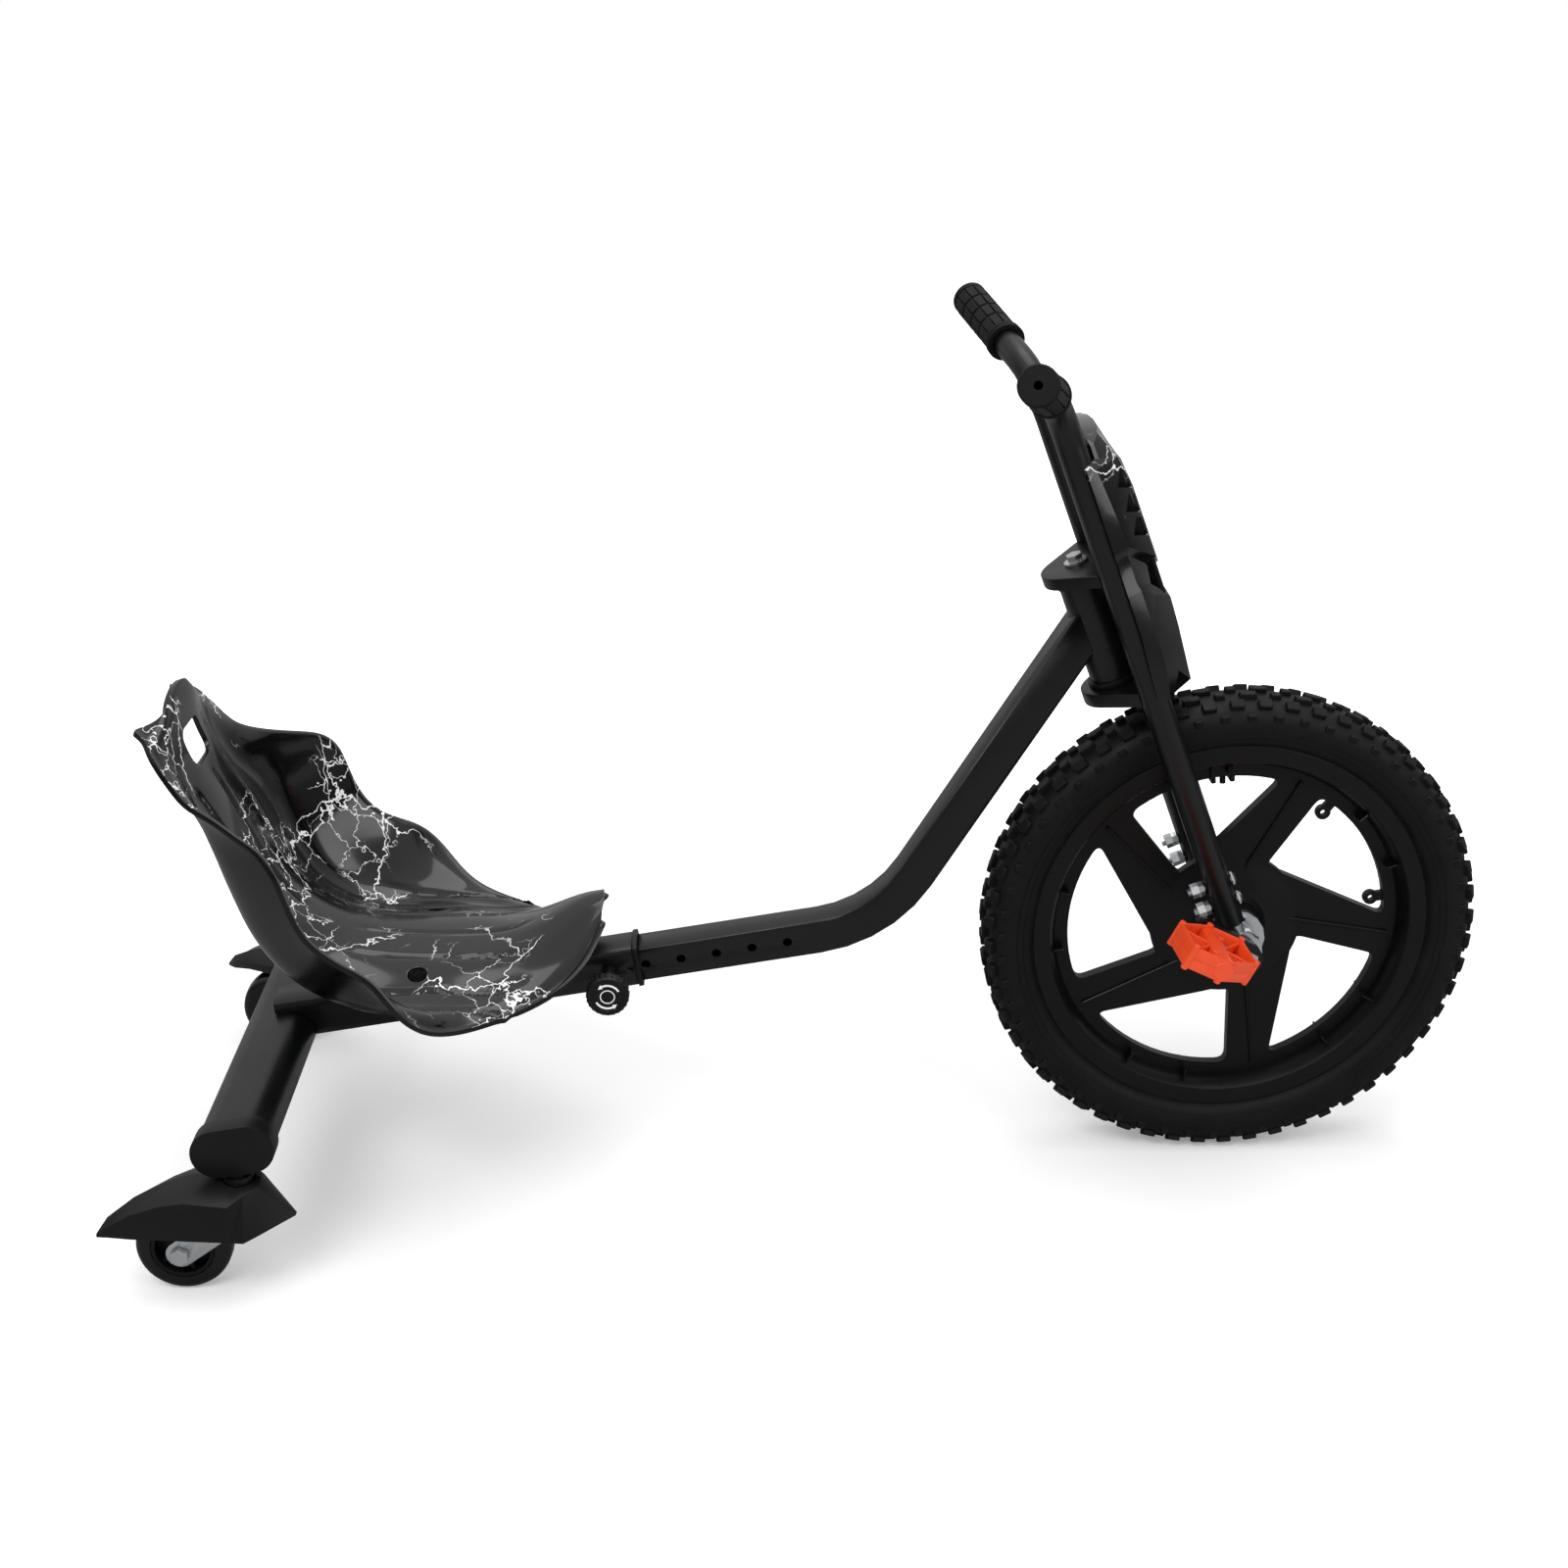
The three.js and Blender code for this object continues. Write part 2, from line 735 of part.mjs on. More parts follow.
// The housing holds the spring; the pin's collar rides in it
function pinHousing() {
  const start = receiverTop + clearance;
  const end = start + pinHousingLength;
  const springRoom = pinSpringRadius + clearance;
  const cavityEnd = end - receiverWall;
  const profile = [
    [pinBore, end], [pinHousingRadius, end], [pinHousingRadius, start], [springRoom, start],
    [springRoom, cavityEnd], [pinBore, cavityEnd], [pinBore, end],
  ];
  return turnedOnAxle(profile.map(([radius, reach]) => [radius, -reach]));
}

function indexPin() {
  const tip = mainTubeSize / 2 - mainTubeWall;
  const collar = receiverTop + 2 * clearance;
  const collarEnd = collar + receiverWall;
  const housingEnd = receiverTop + clearance + pinHousingLength;
  const threadEnd = housingEnd + knobHubLength + knobThickness / 2;
  const collarRadius = pinSpringRadius - clearance;
  const profile = [
    [0, tip - mainTubeWall], [pinRadius, tip - mainTubeWall], [pinRadius, collar],
    [collarRadius, collar], [collarRadius, collarEnd], [pinRadius, collarEnd],
    [pinRadius, threadEnd], [0, threadEnd],
  ];
  return turnedOnAxle(profile.map(([radius, reach]) => [radius, -reach]), smallSides);
}

// Coil shown as the sleeve of space that it fills
function pinSpring() {
  const start = receiverTop + receiverWall + 3 * clearance;
  const bore = pinRadius + clearance / 2;
  const body = ring(pinSpringRadius, bore, -start - pinSpringLength, -start, smallSides);
  return body.rotateX(-quarterTurn);
}

function adjustKnob() {
  const hubStart = receiverTop + 2 * clearance + pinHousingLength;
  const faceStart = hubStart + knobHubLength;
  const faceEnd = faceStart + knobThickness;
  const bore = pinRadius + clearance;
  const boreEnd = faceStart + knobThickness / 2 + clearance;
  const rim = knobRadius - knobHubLength / 2;
  const profile = [
    [bore, hubStart], [knobHubRadius, hubStart], [knobHubRadius, faceStart], [rim, faceStart],
    [knobRadius, faceStart + knobHubLength / 2], [knobRadius, faceEnd - knobHubLength / 2],
    [rim, faceEnd], [0, faceEnd], [0, boreEnd], [bore, boreEnd], [bore, hubStart],
  ];
  return turnedOnAxle(profile.map(([radius, reach]) => [radius, -reach]));
}

function buildReceiver() {
  addPart(slope, 'receiver_tube', receiverTube(), powderBlack);
  addPart(slope, 'receiver_collar', receiverCollar(), mattBlack);
  addPart(slope, 'pin_housing', pinHousing(), powderBlack).position.x = -pinRun;
  addPart(slope, 'index_pin', indexPin(), zincSilver).position.x = -pinRun;
  addPart(slope, 'pin_spring', pinSpring(), zincSilver).position.x = -pinRun;
  addPart(slope, 'adjust_knob', adjustKnob(), mattBlack).position.x = -pinRun;
}

// Rear beam with its caps and sockets

function beamSolid(width, height, halfLength) {
  return sideSlab(roundedBox(width, height, height / 2), -halfLength, halfLength, arcSteps);
}

// Neck of a socket, upright in the ground's frame and drawn in the beam's own
function socketCutter(side) {
  const neck = rod(socketNeckRadius + clearance, beamHeight + socketNeckReach + clearance);
  neck.translate(0, side * casterSpread, -beamHeight);
  return neck.rotateY(mainSlope);
}

function rearBeam() {
  const bore = beamSolid(beamWidth - 2 * beamWall, beamHeight - 2 * beamWall, beamHalfLength + overrun);
  const tube = cut(beamSolid(beamWidth, beamHeight, beamHalfLength), bore);
  return cut(tube, socketCutter(-1), socketCutter(1));
}

function beamCap(side) {
  const innerWidth = beamWidth + 2 * clearance;
  const innerHeight = beamHeight + 2 * clearance;
  const room = beamHalfLength + 2 * clearance;
  const outer = sideSlab(
    roundedBox(innerWidth + 2 * capWall, innerHeight + 2 * capWall, innerHeight / 2 + capWall),
    side * (beamHalfLength - capSleeve), side * (room + capEnd),
  );
  return cut(outer, beamSolid(innerWidth, innerHeight, room), socketCutter(side));
}

function casterSocket() {
  const lipTop = socketBottom + socketLip;
  const underBeam = mainCornerHeight - beamRun * Math.sin(mainSlope) - beamDrop * Math.cos(mainSlope);
  const neckTop = underBeam + socketNeckReach;
  return turned([
    [socketBore, socketBottom], [socketRadius, socketBottom], [socketRadius, lipTop],
    [socketNeckRadius, lipTop], [socketNeckRadius, neckTop], [socketBore, neckTop],
    [socketBore, socketBottom],
  ]);
}

function buildRearBeam() {
  const beam = new THREE.Group();
  beam.position.set(-beamRun, 0, -beamDrop);
  slope.add(beam);
  addPart(beam, 'rear_beam', rearBeam(), powderBlack);
  for (const side of [-1, 1]) {
    addPart(beam, `beam_cap_${mirrored(side)}`, beamCap(side), mattBlack);
    const socket = addPart(layout, `caster_mount_${mirrored(side)}`, casterSocket(), powderBlack);
    socket.position.set(-casterReach, side * casterSpread, 0);
  }
}

// Casters, drawn round the foot of the swivel axis

function casterFork() {
  const armOuter = casterArmGap + casterArmThickness;
  const axleHeight = casterWheelRadius;
  const shoulder = casterPlateTop - casterArmRadius;
  const side = strap([[0, shoulder, casterArmRadius], [-casterTrail, axleHeight, casterArmRadius]]);
  const arms = [-1, 1].map((way) => sideSlab(side, way * casterArmGap, way * armOuter));
  const plate = rod(casterPlateRadius, casterPlateThickness, roundSides);
  plate.translate(0, 0, casterPlateTop - casterPlateThickness);
  const flange = rod(kingpinFlange, socketBottom - casterPlateTop, roundSides);
  flange.translate(0, 0, casterPlateTop - clearance);
  const kingpin = rod(kingpinRadius, kingpinLength, roundSides).translate(0, 0, casterPlateTop - clearance);
  const bore = crossRod(casterAxleRadius + clearance, -armOuter - overrun, armOuter + overrun, smallSides);
  const fork = join(plate, ...arms, flange, kingpin);
  return cut(fork, bore.translate(-casterTrail, 0, axleHeight));
}

function casterAxle() {
  const face = casterArmGap + casterArmThickness + clearance;
  const end = face + axleHeadHeight;
  const shank = crossRod(casterAxleRadius, -end, end, smallSides);
  const head = crossRod(axleHeadRadius, -end, -face, hexSides);
  const nut = crossRod(axleHeadRadius, face, end, hexSides);
  return join(shank, head, nut);
}

function casterCore() {
  const bore = casterAxleRadius + clearance;
  const rimInner = casterCoreRadius - casterCoreWall;
  const section = [
    [bore, -casterHubHalf], [casterHubRadius, -casterHubHalf], [casterHubRadius, -casterWebHalf],
    [rimInner, -casterWebHalf], [rimInner, -casterTyreHalf], [casterCoreRadius, -casterTyreHalf],
    [casterCoreRadius, casterTyreHalf], [rimInner, casterTyreHalf], [rimInner, casterWebHalf],
    [casterHubRadius, casterWebHalf], [casterHubRadius, casterHubHalf], [bore, casterHubHalf],
    [bore, -casterHubHalf],
  ];
  const ribs = [];
  for (let count = 0; count < casterRibCount; count += 1) {
    const length = casterCoreRadius - casterHubRadius;
    const rib = block(length, 2 * (casterTyreHalf - casterCoreWall), 2 * casterWebHalf);
    rib.translate(casterHubRadius + (length - casterCoreWall) / 2, 0, 0);
    ribs.push(rib.rotateY((count / casterRibCount) * 2 * Math.PI));
  }
  return join(turnedOnAxle(section), ...ribs);
}

function casterTyre() {
  const inner = casterCoreRadius + clearance;
  const shoulder = casterWheelRadius - casterTyreRound;
  const profile = [[inner, -casterTyreHalf]];
  for (const way of [-1, 1]) {
    for (let step = 0; step <= arcSteps / 2; step += 1) {
      const share = way < 0 ? step / (arcSteps / 2) : 1 - step / (arcSteps / 2);
      const across = way * (casterTyreHalf - casterTyreRound + casterTyreRound * Math.cos(share * quarterTurn));
      profile.push([shoulder + casterTyreRound * Math.sin(share * quarterTurn), across]);
    }
  }
  profile.push([inner, casterTyreHalf], [inner, -casterTyreHalf]);
  return turnedOnAxle(profile, 2 * smallSides);
}

// One ring of the fender; a wall thickness gives the ring of its inside
function fenderRing(row, wall, side) {
  const place = row[0] * (fenderTail + fenderNose) - fenderTail;
  const walls = [wall, wall, 0, -wall, -wall];
  const drops = [wall > 0 ? overrun : 0, wall, wall, wall, wall > 0 ? overrun : 0];
  return walls.map((step, count) => {
    const across = row[2 * count + 1] * fenderHalfWidth + step;
    const up = fenderBottom + row[2 * count + 2] * fenderHeight - drops[count];
    return new THREE.Vector3(place, -side * across, up);
  });
}

function casterFender(side) {
  const skin = loft(fenderStationShares.map((row) => fenderRing(row, 0, side)));
  const inside = fenderStationShares.slice(1, -1).map((row) => fenderRing(row, fenderWall, side));
  const cavity = loft(inside);
  const seat = casterPlateTop + clearance;
  const bossBore = fenderBossRadius - fenderBossWall;
  const tall = fenderBottom + fenderHeight;
  const boss = shared(ring(fenderBossRadius, bossBore, seat, tall, smallSides), skin);
  const hole = rod(bossBore, fenderHeight, smallSides).translate(0, 0, seat);
  return cut(join(cut(skin, cavity), boss), hole);
}

function buildCaster(side) {
  const word = mirrored(side);
  const caster = new THREE.Group();
  caster.position.set(-casterReach, side * casterSpread, 0);
  layout.add(caster);
  const hub = new THREE.Group();
  hub.position.set(-casterTrail, 0, casterWheelRadius);
  caster.add(hub);
  addPart(caster, `caster_fork_${word}`, casterFork(), zincSilver);
  addPart(caster, `caster_fender_${word}`, casterFender(side), mattBlack);
  addPart(hub, `caster_axle_${word}`, casterAxle(), zincSilver);
  addPart(hub, `caster_core_${word}`, casterCore(), mattBlack);
  addPart(hub, `caster_tyre_${word}`, casterTyre(), rubberBlack);
}

// Fork, crowns and bars, drawn in the steering frame

function crown(bottom, top, bore) {
  const legEnds = [-1, 1].map((way) => [forkOffset, way * (legSpread - crownLegInset), crownLegRadius]);
  const plate = slab(strap([[0, 0, crownNoseRadius], ...legEnds], 2 * roundSides), top - bottom);
  const legs = [-1, 1].map((way) => {
    const leg = rod(legRadius + clearance, top - bottom + 2 * overrun, roundSides);
    return leg.translate(forkOffset, way * legSpread, -overrun);
  });
  const hole = rod(bore, top - bottom + 2 * overrun, roundSides).translate(0, 0, -overrun);
  return cut(plate, hole, ...legs).translate(0, 0, bottom);
}

function forkLeg(side) {
  const rise = gripRiseDeg * degree;
  const sweep = gripSweepDeg * degree;
  const heading = new THREE.Vector3(
    -Math.sin(sweep) * Math.cos(rise), side * Math.cos(sweep) * Math.cos(rise), Math.sin(rise),
  );
  const foot = new THREE.Vector3(forkOffset, side * legSpread, legBottom);
  const corner = new THREE.Vector3(forkOffset, side * legSpread, legCorner);
  const tip = corner.clone().addScaledVector(heading, barLength);
  const path = new BentPath(foot, corner, tip, gripBendRadius, bendSteps);
  const section = hollow(circle(legRadius), circle(legRadius - legWall));
  const tube = alongPath(section, path, roundSides / 2 - 1);
  const holes = legBoltHeights.map((height) => legBoltCutter(side, height));
  return cut(tube, ...holes);
}

function legBoltCutter(side, height) {
  const hole = new THREE.CylinderGeometry(
    legBoltRadius + clearance, legBoltRadius + clearance, 4 * legRadius, holeSides,
  );
  return hole.rotateZ(quarterTurn).translate(forkOffset, side * legSpread, height);
}

// Sleeve with an inner flange, a groove, long ribs and a closed end, drawn along Z
function gripSleeve() {
  const bore = legRadius + clearance;
  const tubeEnd = barLength - gripStart + clearance;
  const groove = gripRadius - gripGroove / 2;
  const flangeEnd = gripFlangeWidth;
  const grooveEnd = flangeEnd + gripGroove;
  const secondEnd = grooveEnd + gripFlangeWidth / 2;
  const capStart = gripLength - gripFlangeWidth;
  const body = turned([
    [bore, 0], [gripFlangeRadius, 0], [gripFlangeRadius, flangeEnd], [groove, flangeEnd],
    [groove, grooveEnd], [gripFlangeRadius - gripRib, grooveEnd],
    [gripFlangeRadius - gripRib, secondEnd], [gripRadius - gripRib, secondEnd],
    [gripRadius - gripRib, capStart], [gripRadius, capStart], [gripRadius, gripLength - gripRib],
    [gripRadius - gripRib, gripLength], [gripEndHole, gripLength], [gripEndHole, tubeEnd],
    [bore, tubeEnd], [bore, 0],
  ]);
  const ribs = [];
  for (let count = 0; count < gripRibCount; count += 1) {
    const rib = block(gripRib * 2, gripFlangeWidth, capStart - secondEnd + gripRib);
    rib.translate(gripRadius - gripRib, 0, (capStart + secondEnd) / 2);
    ribs.push(rib.rotateZ((count / gripRibCount) * 2 * Math.PI));
  }
  return join(body, ...ribs);
}

function placeGrip(mesh, side) {
  const rise = gripRiseDeg * degree;
  const sweep = gripSweepDeg * degree;
  const heading = new THREE.Vector3(
    -Math.sin(sweep) * Math.cos(rise), side * Math.cos(sweep) * Math.cos(rise), Math.sin(rise),
  );
  const corner = new THREE.Vector3(forkOffset, side * legSpread, legCorner);
  mesh.quaternion.setFromUnitVectors(new THREE.Vector3(0, 0, 1), heading);
  mesh.position.copy(corner.addScaledVector(heading, gripStart));
}

// Ring round the axle with a spigot up inside the leg, drawn in the steering frame
function axleBracket(side) {
  const inner = side * (legSpread - bracketHalf);
  const outer = side * (legSpread + bracketHalf);
  const boss = crossRod(bracketRadius, inner, outer).translate(forkOffset, 0, 0);
  const shoulder = rod(bracketHalf, legBottom - clearance).translate(forkOffset, side * legSpread, 0);
  const spigotRadius = legRadius - legWall - clearance;
  const spigotFoot = bracketRadius - overrun;
  const spigot = rod(spigotRadius, spigotTop - spigotFoot);
  spigot.translate(forkOffset, side * legSpread, spigotFoot);
  const bore = crossRod(axleRadius + clearance, inner - side * overrun, outer + side * overrun);
  const holes = legBoltHeights.map((height) => legBoltCutter(side, height));
  return cut(join(boss, shoulder, spigot), bore.translate(forkOffset, 0, 0), ...holes);
}

// Domed bolt with its saddle washer and nut, along X through the leg
function legBolt() {
  const saddleFace = legRadius + clearance;
  const saddleEnd = saddleFace + legBoltSaddle;
  const nutEnd = saddleEnd + legBoltNutHeight;
  const stubEnd = nutEnd + legBoltStub;
  const headFace = legRadius + clearance;
  const profile = [
    [0, -stubEnd], [legBoltRadius, -stubEnd], [legBoltRadius, -saddleEnd], [legBoltNut, -saddleEnd],
    [legBoltNut, -saddleFace], [legBoltRadius, -saddleFace], [legBoltRadius, headFace],
    [legBoltHead, headFace], [legBoltHead * Math.cos(degree * slotLeanDeg), headFace + legBoltDome / 2],
    [legBoltHead / 2, headFace + legBoltDome], [0, headFace + legBoltDome],
  ];
  const nut = rod(legBoltNut, legBoltNutHeight, hexSides).translate(0, 0, -nutEnd);
  return join(turned(profile, holeSides), nut).rotateY(quarterTurn);
}

function shroudRing(row, wall) {
  const [height, swell, width] = row;
  const push = swell * shroudNose;
  const rear = wall > 0 ? shroudRear - overrun : shroudRear;
  const places = [
    [rear, shroudHalfWidth * width - wall], [shroudCrease, shroudCreaseHalf * width - wall],
    [shroudEdge + push - wall, shroudEdgeHalf * width - wall / 2],
    [shroudNose + push - wall, 0],
  ];
  const far = places.slice(0, 3).reverse().map(([reach, across]) => [reach, -across]);
  const up = shroudBase + height * shroudHeight;
  return [...places, ...far].map(([reach, across]) => new THREE.Vector3(reach + forkOffset, across, up));
}

function shroudSide(shares) {
  return outline(shares.map(([reach, height]) => [
    forkOffset + reach * shroudNose, shroudBase + height * shroudHeight,
  ]));
}

function shroudShell() {
  const outer = loft(shroudStationShares.map((row) => shroudRing(row, 0)));
  const inner = loft(shroudStationShares.map((row) => shroudRing(row, shroudWall)));
  const wide = shroudHalfWidth + overrun;
  const skin = shared(cut(outer, inner), sideSlab(shroudSide(shroudSideShares), -wide, wide));
  const tools = [sideSlab(shroudSide(shroudNotchShares), -wide, wide)];
  for (const side of [-1, 1]) {
    const leg = rod(legRadius + clearance, legCorner, roundSides);
    tools.push(leg.translate(forkOffset, side * legSpread, 0));
    for (let count = 0; count < slotCount; count += 1) {
      const slot = block(slotWidth, shroudHalfWidth, slotHeight).rotateY(slotLeanDeg * degree);
      const up = shroudBase + (slotFirstShare - slotPitchShare * count) * shroudHeight;
      slot.translate(forkOffset + slotReach, side * shroudHalfWidth, up);
      tools.push(slot);
    }
  }
  return cut(skin, ...tools);
}

// Follows the back of the shell behind its notch
function shroudPanel() {
  const face = shroudWall + clearance;
  const back = face + shroudPanelThickness;
  const outer = loft(shroudStationShares.map((row) => shroudRing(row, face)));
  const inner = loft(shroudStationShares.map((row) => shroudRing(row, back)));
  const window = block(shroudNose, 2 * shroudPanelHalf, shroudPanelHeight);
  window.translate(forkOffset + shroudNose, 0, shroudBase + shroudPanelRise + shroudPanelHeight / 2);
  return shared(cut(outer, inner), window);
}

// Flat strap across the front of both legs
function shroudStrap(rise) {
  const reach = forkOffset + legRadius + clearance + strapThickness / 2;
  return block(strapThickness, 2 * legSpread, strapWidth).translate(reach, 0, shroudBase + rise);
}

function buildFork() {
  const lowerTop = headTubeBottom - cupHeight - clearance;
  const upperBottom = headTubeBottom + headTubeLength + cupHeight + clearance;
  const lowerBottom = lowerTop - lowerCrownThickness;
  const upperTop = upperBottom + upperCrownThickness;
  const steererTop = upperBottom - clearance;
  const steerer = ring(steererRadius, steererRadius - steererWall, lowerBottom, steererTop);
  addPart(steering, 'steerer_tube', steerer, powderBlack);
  addPart(steering, 'crown_lower', crown(lowerBottom, lowerTop, steererRadius + clearance), powderBlack);
  addPart(steering, 'crown_upper', crown(upperBottom, upperTop, steererBoltRadius + clearance), powderBlack);
  addPart(steering, 'steerer_bolt', steererBolt(upperTop), zincSilver);
  for (const side of [-1, 1]) {
    const word = mirrored(side);
    addPart(steering, `fork_leg_${word}`, forkLeg(side), powderBlack);
    placeGrip(addPart(steering, `grip_${word}`, gripSleeve(), rubberBlack), side);
    addPart(steering, `axle_bracket_${word}`, axleBracket(side), zincSilver);
    legBoltHeights.forEach((height, count) => {
      const bolt = addPart(steering, `leg_bolt_${word}_${count + 1}`, legBolt(), zincSilver);
      bolt.position.set(forkOffset, side * legSpread, height);
    });
  }
  addPart(steering, 'shroud_shell', shroudShell(), glossBlack);
  addPart(steering, 'shroud_panel', shroudPanel(), mattBlack);
  addPart(steering, 'shroud_strap_lower', shroudStrap(strapRises[0]), mattBlack);
  addPart(steering, 'shroud_strap_upper', shroudStrap(strapRises[1]), mattBlack);
}

function steererBolt(crownTop) {
  const washerBottom = crownTop + clearance;
  const washerTop = washerBottom + steererWasherHeight;
  const shankBottom = washerTop - steererBoltLength;
  const head = rod(steererBoltHead, steererBoltHeadHeight, hexSides).translate(0, 0, washerTop);
  const washer = rod(steererWasherRadius, steererWasherHeight).translate(0, 0, washerBottom);
  const shank = rod(steererBoltRadius, steererBoltLength, holeSides).translate(0, 0, shankBottom);
  return join(head, washer, shank);
}

// Front wheel, drawn round its axle

function casingRing(wall) {
  const tread = tyreRadius - treadDepth - wall;
  const half = tyreHalfWidth - wall;
  return casingShares.map(([rise, width]) => [beadRadius + rise * (tread - beadRadius), width * half]);
}

function tyreBody() {
  const outer = casingRing(0);
  const inner = casingRing(tyreWall).filter((point, count) => count % 2 === 0);
  const otherSide = (points) => points.slice(0, -1).reverse().map(([radius, across]) => [radius, -across]);
  const outside = [...outer, ...otherSide(outer)];
  const inside = [...inner, ...otherSide(inner)].reverse();
  const casing = turnedOnAxle([...outside, ...inside, outside[0]], tyreSides);
  return join(casing, ...treadKnobs());
}

function treadKnobs() {
  const knobs = [];
  const knobTop = treadDepth + knobSink;
  for (let count = 0; count < knobPitchCount; count += 1) {
    const angle = (count / knobPitchCount) * 2 * Math.PI;
    const halfStep = Math.PI / knobPitchCount;
    for (const side of [-1, 1]) {
      const centre = block(knobTop, knobWidth, knobLength);
      centre.translate(tyreRadius - knobTop / 2, side * knobRowShares[0] * tyreHalfWidth, 0);
      knobs.push(centre.rotateY(angle + (side > 0 ? halfStep : 0)));
      const outer = block(knobTop, shoulderKnobWidth, knobLength);
      outer.rotateZ(side * shoulderKnobTiltDeg * degree);
      const reach = tyreRadius - knobTop / 2 - shoulderKnobDrop;
      outer.translate(reach, side * knobRowShares[1] * tyreHalfWidth, 0);
      knobs.push(outer.rotateY(angle + (side > 0 ? 0 : halfStep)));
    }
  }
  return knobs;
}

function windowOutline() {
  const polar = (radius, angle) => new THREE.Vector2(radius * Math.cos(angle), radius * Math.sin(angle));
  const start = windowStartDeg * degree;
  const end = windowEndDeg * degree;
  const corners = [polar(windowHubRadius, windowHubDeg * degree)];
  for (let step = 0; step <= arcSteps; step += 1) {
    corners.push(polar(windowOuterRadius, start + ((end - start) * step) / arcSteps));
  }
  return roundedOutline(corners, windowCornerRadius);
}

// A closed outline whose sharp corners are rounded off
function roundedOutline(corners, radius) {
  const shape = new THREE.Shape();
  corners.forEach((corner, count) => {
    const before = corners.at(count - 1).clone().sub(corner);
    const after = corners[(count + 1) % corners.length].clone().sub(corner);
    const sharp = Math.abs(Math.PI - Math.abs(before.angle() - after.angle())) > quarterTurn / 2;
    if (!sharp) {
      if (count === 0) shape.moveTo(corner.x, corner.y);
      else shape.lineTo(corner.x, corner.y);
      return;
    }
    const from = corner.clone().addScaledVector(before.normalize(), radius);
    const to = corner.clone().addScaledVector(after.normalize(), radius);
    if (count === 0) shape.moveTo(from.x, from.y);
    else shape.lineTo(from.x, from.y);
    shape.quadraticCurveTo(corner.x, corner.y, to.x, to.y);
  });
  return shape;
}

function rimBody() {
  const bore = axleRadius + clearance;
  const seatEdge = rimHalfWidth - rimFlangeWall;
  const half = [
    [rimHubRadius, rimHubHalf], [rimHubRadius, rimWebHalf], [rimRootRadius, rimWebHalf],
    [rimInnerRadius, rimHalfWidth], [rimFlangeRadius, rimHalfWidth], [rimFlangeRadius, seatEdge],
    [rimSeatRadius, seatEdge],
  ];
  const other = half.map(([radius, across]) => [radius, -across]).reverse();
  const profile = [[bore, rimHubHalf], ...half, ...other, [bore, -rimHubHalf], [bore, rimHubHalf]];
  const body = turnedOnAxle(profile, wheelSides);
  const windows = [];
  for (let count = 0; count < windowCount; count += 1) {
    const opening = sideSlab(windowOutline(), -rimWebHalf - overrun, rimWebHalf + overrun, 2);
    windows.push(opening.rotateY((-count / windowCount) * 2 * Math.PI));
  }
  const valveHole = rod(valveRadius + clearance, rimSeatRadius - valveTip + overrun, holeSides);
  placeRadially(valveHole, valveTip);
  return cut(body, ...windows, valveHole);
}

function placeRadially(geometry, radius) {
  return geometry.translate(0, 0, radius).rotateY(quarterTurn - valveDeg * degree);
}

function valveStem() {
  const seat = rimSeatRadius + clearance;
  const profile = [
    [0, valveTip], [valveRadius, valveTip], [valveRadius, seat], [valveHeadRadius, seat],
    [valveHeadRadius, seat + valveHeadHeight], [0, seat + valveHeadHeight],
  ];
  return placeRadially(turned(profile, holeSides), 0);
}

function hubDisc(side) {
  const bore = axleRadius + clearance;
  const inner = rimHubHalf + clearance;
  const outer = inner + hubDiscThickness;
  const sleeve = legSpread - bracketHalf - clearance;
  const profile = [
    [bore, inner], [hubDiscRadius, inner], [hubDiscRadius, outer], [hubSleeveRadius, outer],
    [hubSleeveRadius, sleeve], [bore, sleeve], [bore, inner],
  ];
  const disc = turnedOnAxle(profile.map(([radius, across]) => [radius, side * across]));
  const slots = [];
  for (let count = 0; count < hubSlotCount; count += 1) {
    const slot = crossRod(hubSlotRadius, side * (inner - overrun), side * (outer + overrun), holeSides);
    slots.push(slot.translate(hubSlotCircle, 0, 0).rotateY((count / hubSlotCount) * 2 * Math.PI));
  }
  return cut(disc, ...slots);
}

// Crank arm with its pedal spindle; the right one points back and up, the left one opposite
function crankArm(side) {
  const across = side * crankAcross;
  const rise = -side * crankRise;
  const inner = side * crankInner;
  const outer = side * (crankInner + crankThickness);
  const arm = sideSlab(strap([[0, 0, crankBossRadius], [across, rise, crankTipRadius]]), inner, outer);
  const spindle = crossRod(spindleRadius, inner, side * (pedalOuter - pedalWall), smallSides);
  const hole = crossRod(axleRadius + clearance, inner - side * overrun, outer + side * overrun);
  return cut(join(arm, spindle.translate(across, 0, rise)), hole);
}

function wheelAxle() {
  const end = crankInner + crankThickness;
  const face = end + clearance;
  const capEdge = face + crankCapHeight;
  const shank = crossRod(axleRadius, -capEdge, capEdge);
  const caps = [-1, 1].map((side) => crossRod(crankTipRadius, side * face, side * capEdge, hexSides));
  return join(shank, ...caps);
}

function buildWheel() {
  addPart(wheel, 'tyre', tyreBody(), rubberBlack);
  addPart(wheel, 'rim', rimBody(), mattBlack);
  addPart(wheel, 'valve_stem', valveStem(), rubberBlack);
  addPart(wheel, 'wheel_axle', wheelAxle(), zincSilver);
  for (const side of [-1, 1]) {
    const word = mirrored(side);
    addPart(wheel, `hub_disc_${word}`, hubDisc(side), zincSilver);
    addPart(wheel, `crank_${word}`, crankArm(side), powderBlack);
    const pedal = addPart(wheel, `pedal_${word}`, pedalBody(side), pedalOrange);
    pedal.position.set(side * crankAcross, side * (pedalInner + pedalOuter) / 2, -side * crankRise);
    pedal.rotation.y = pedalPitchDeg * degree;
  }
}

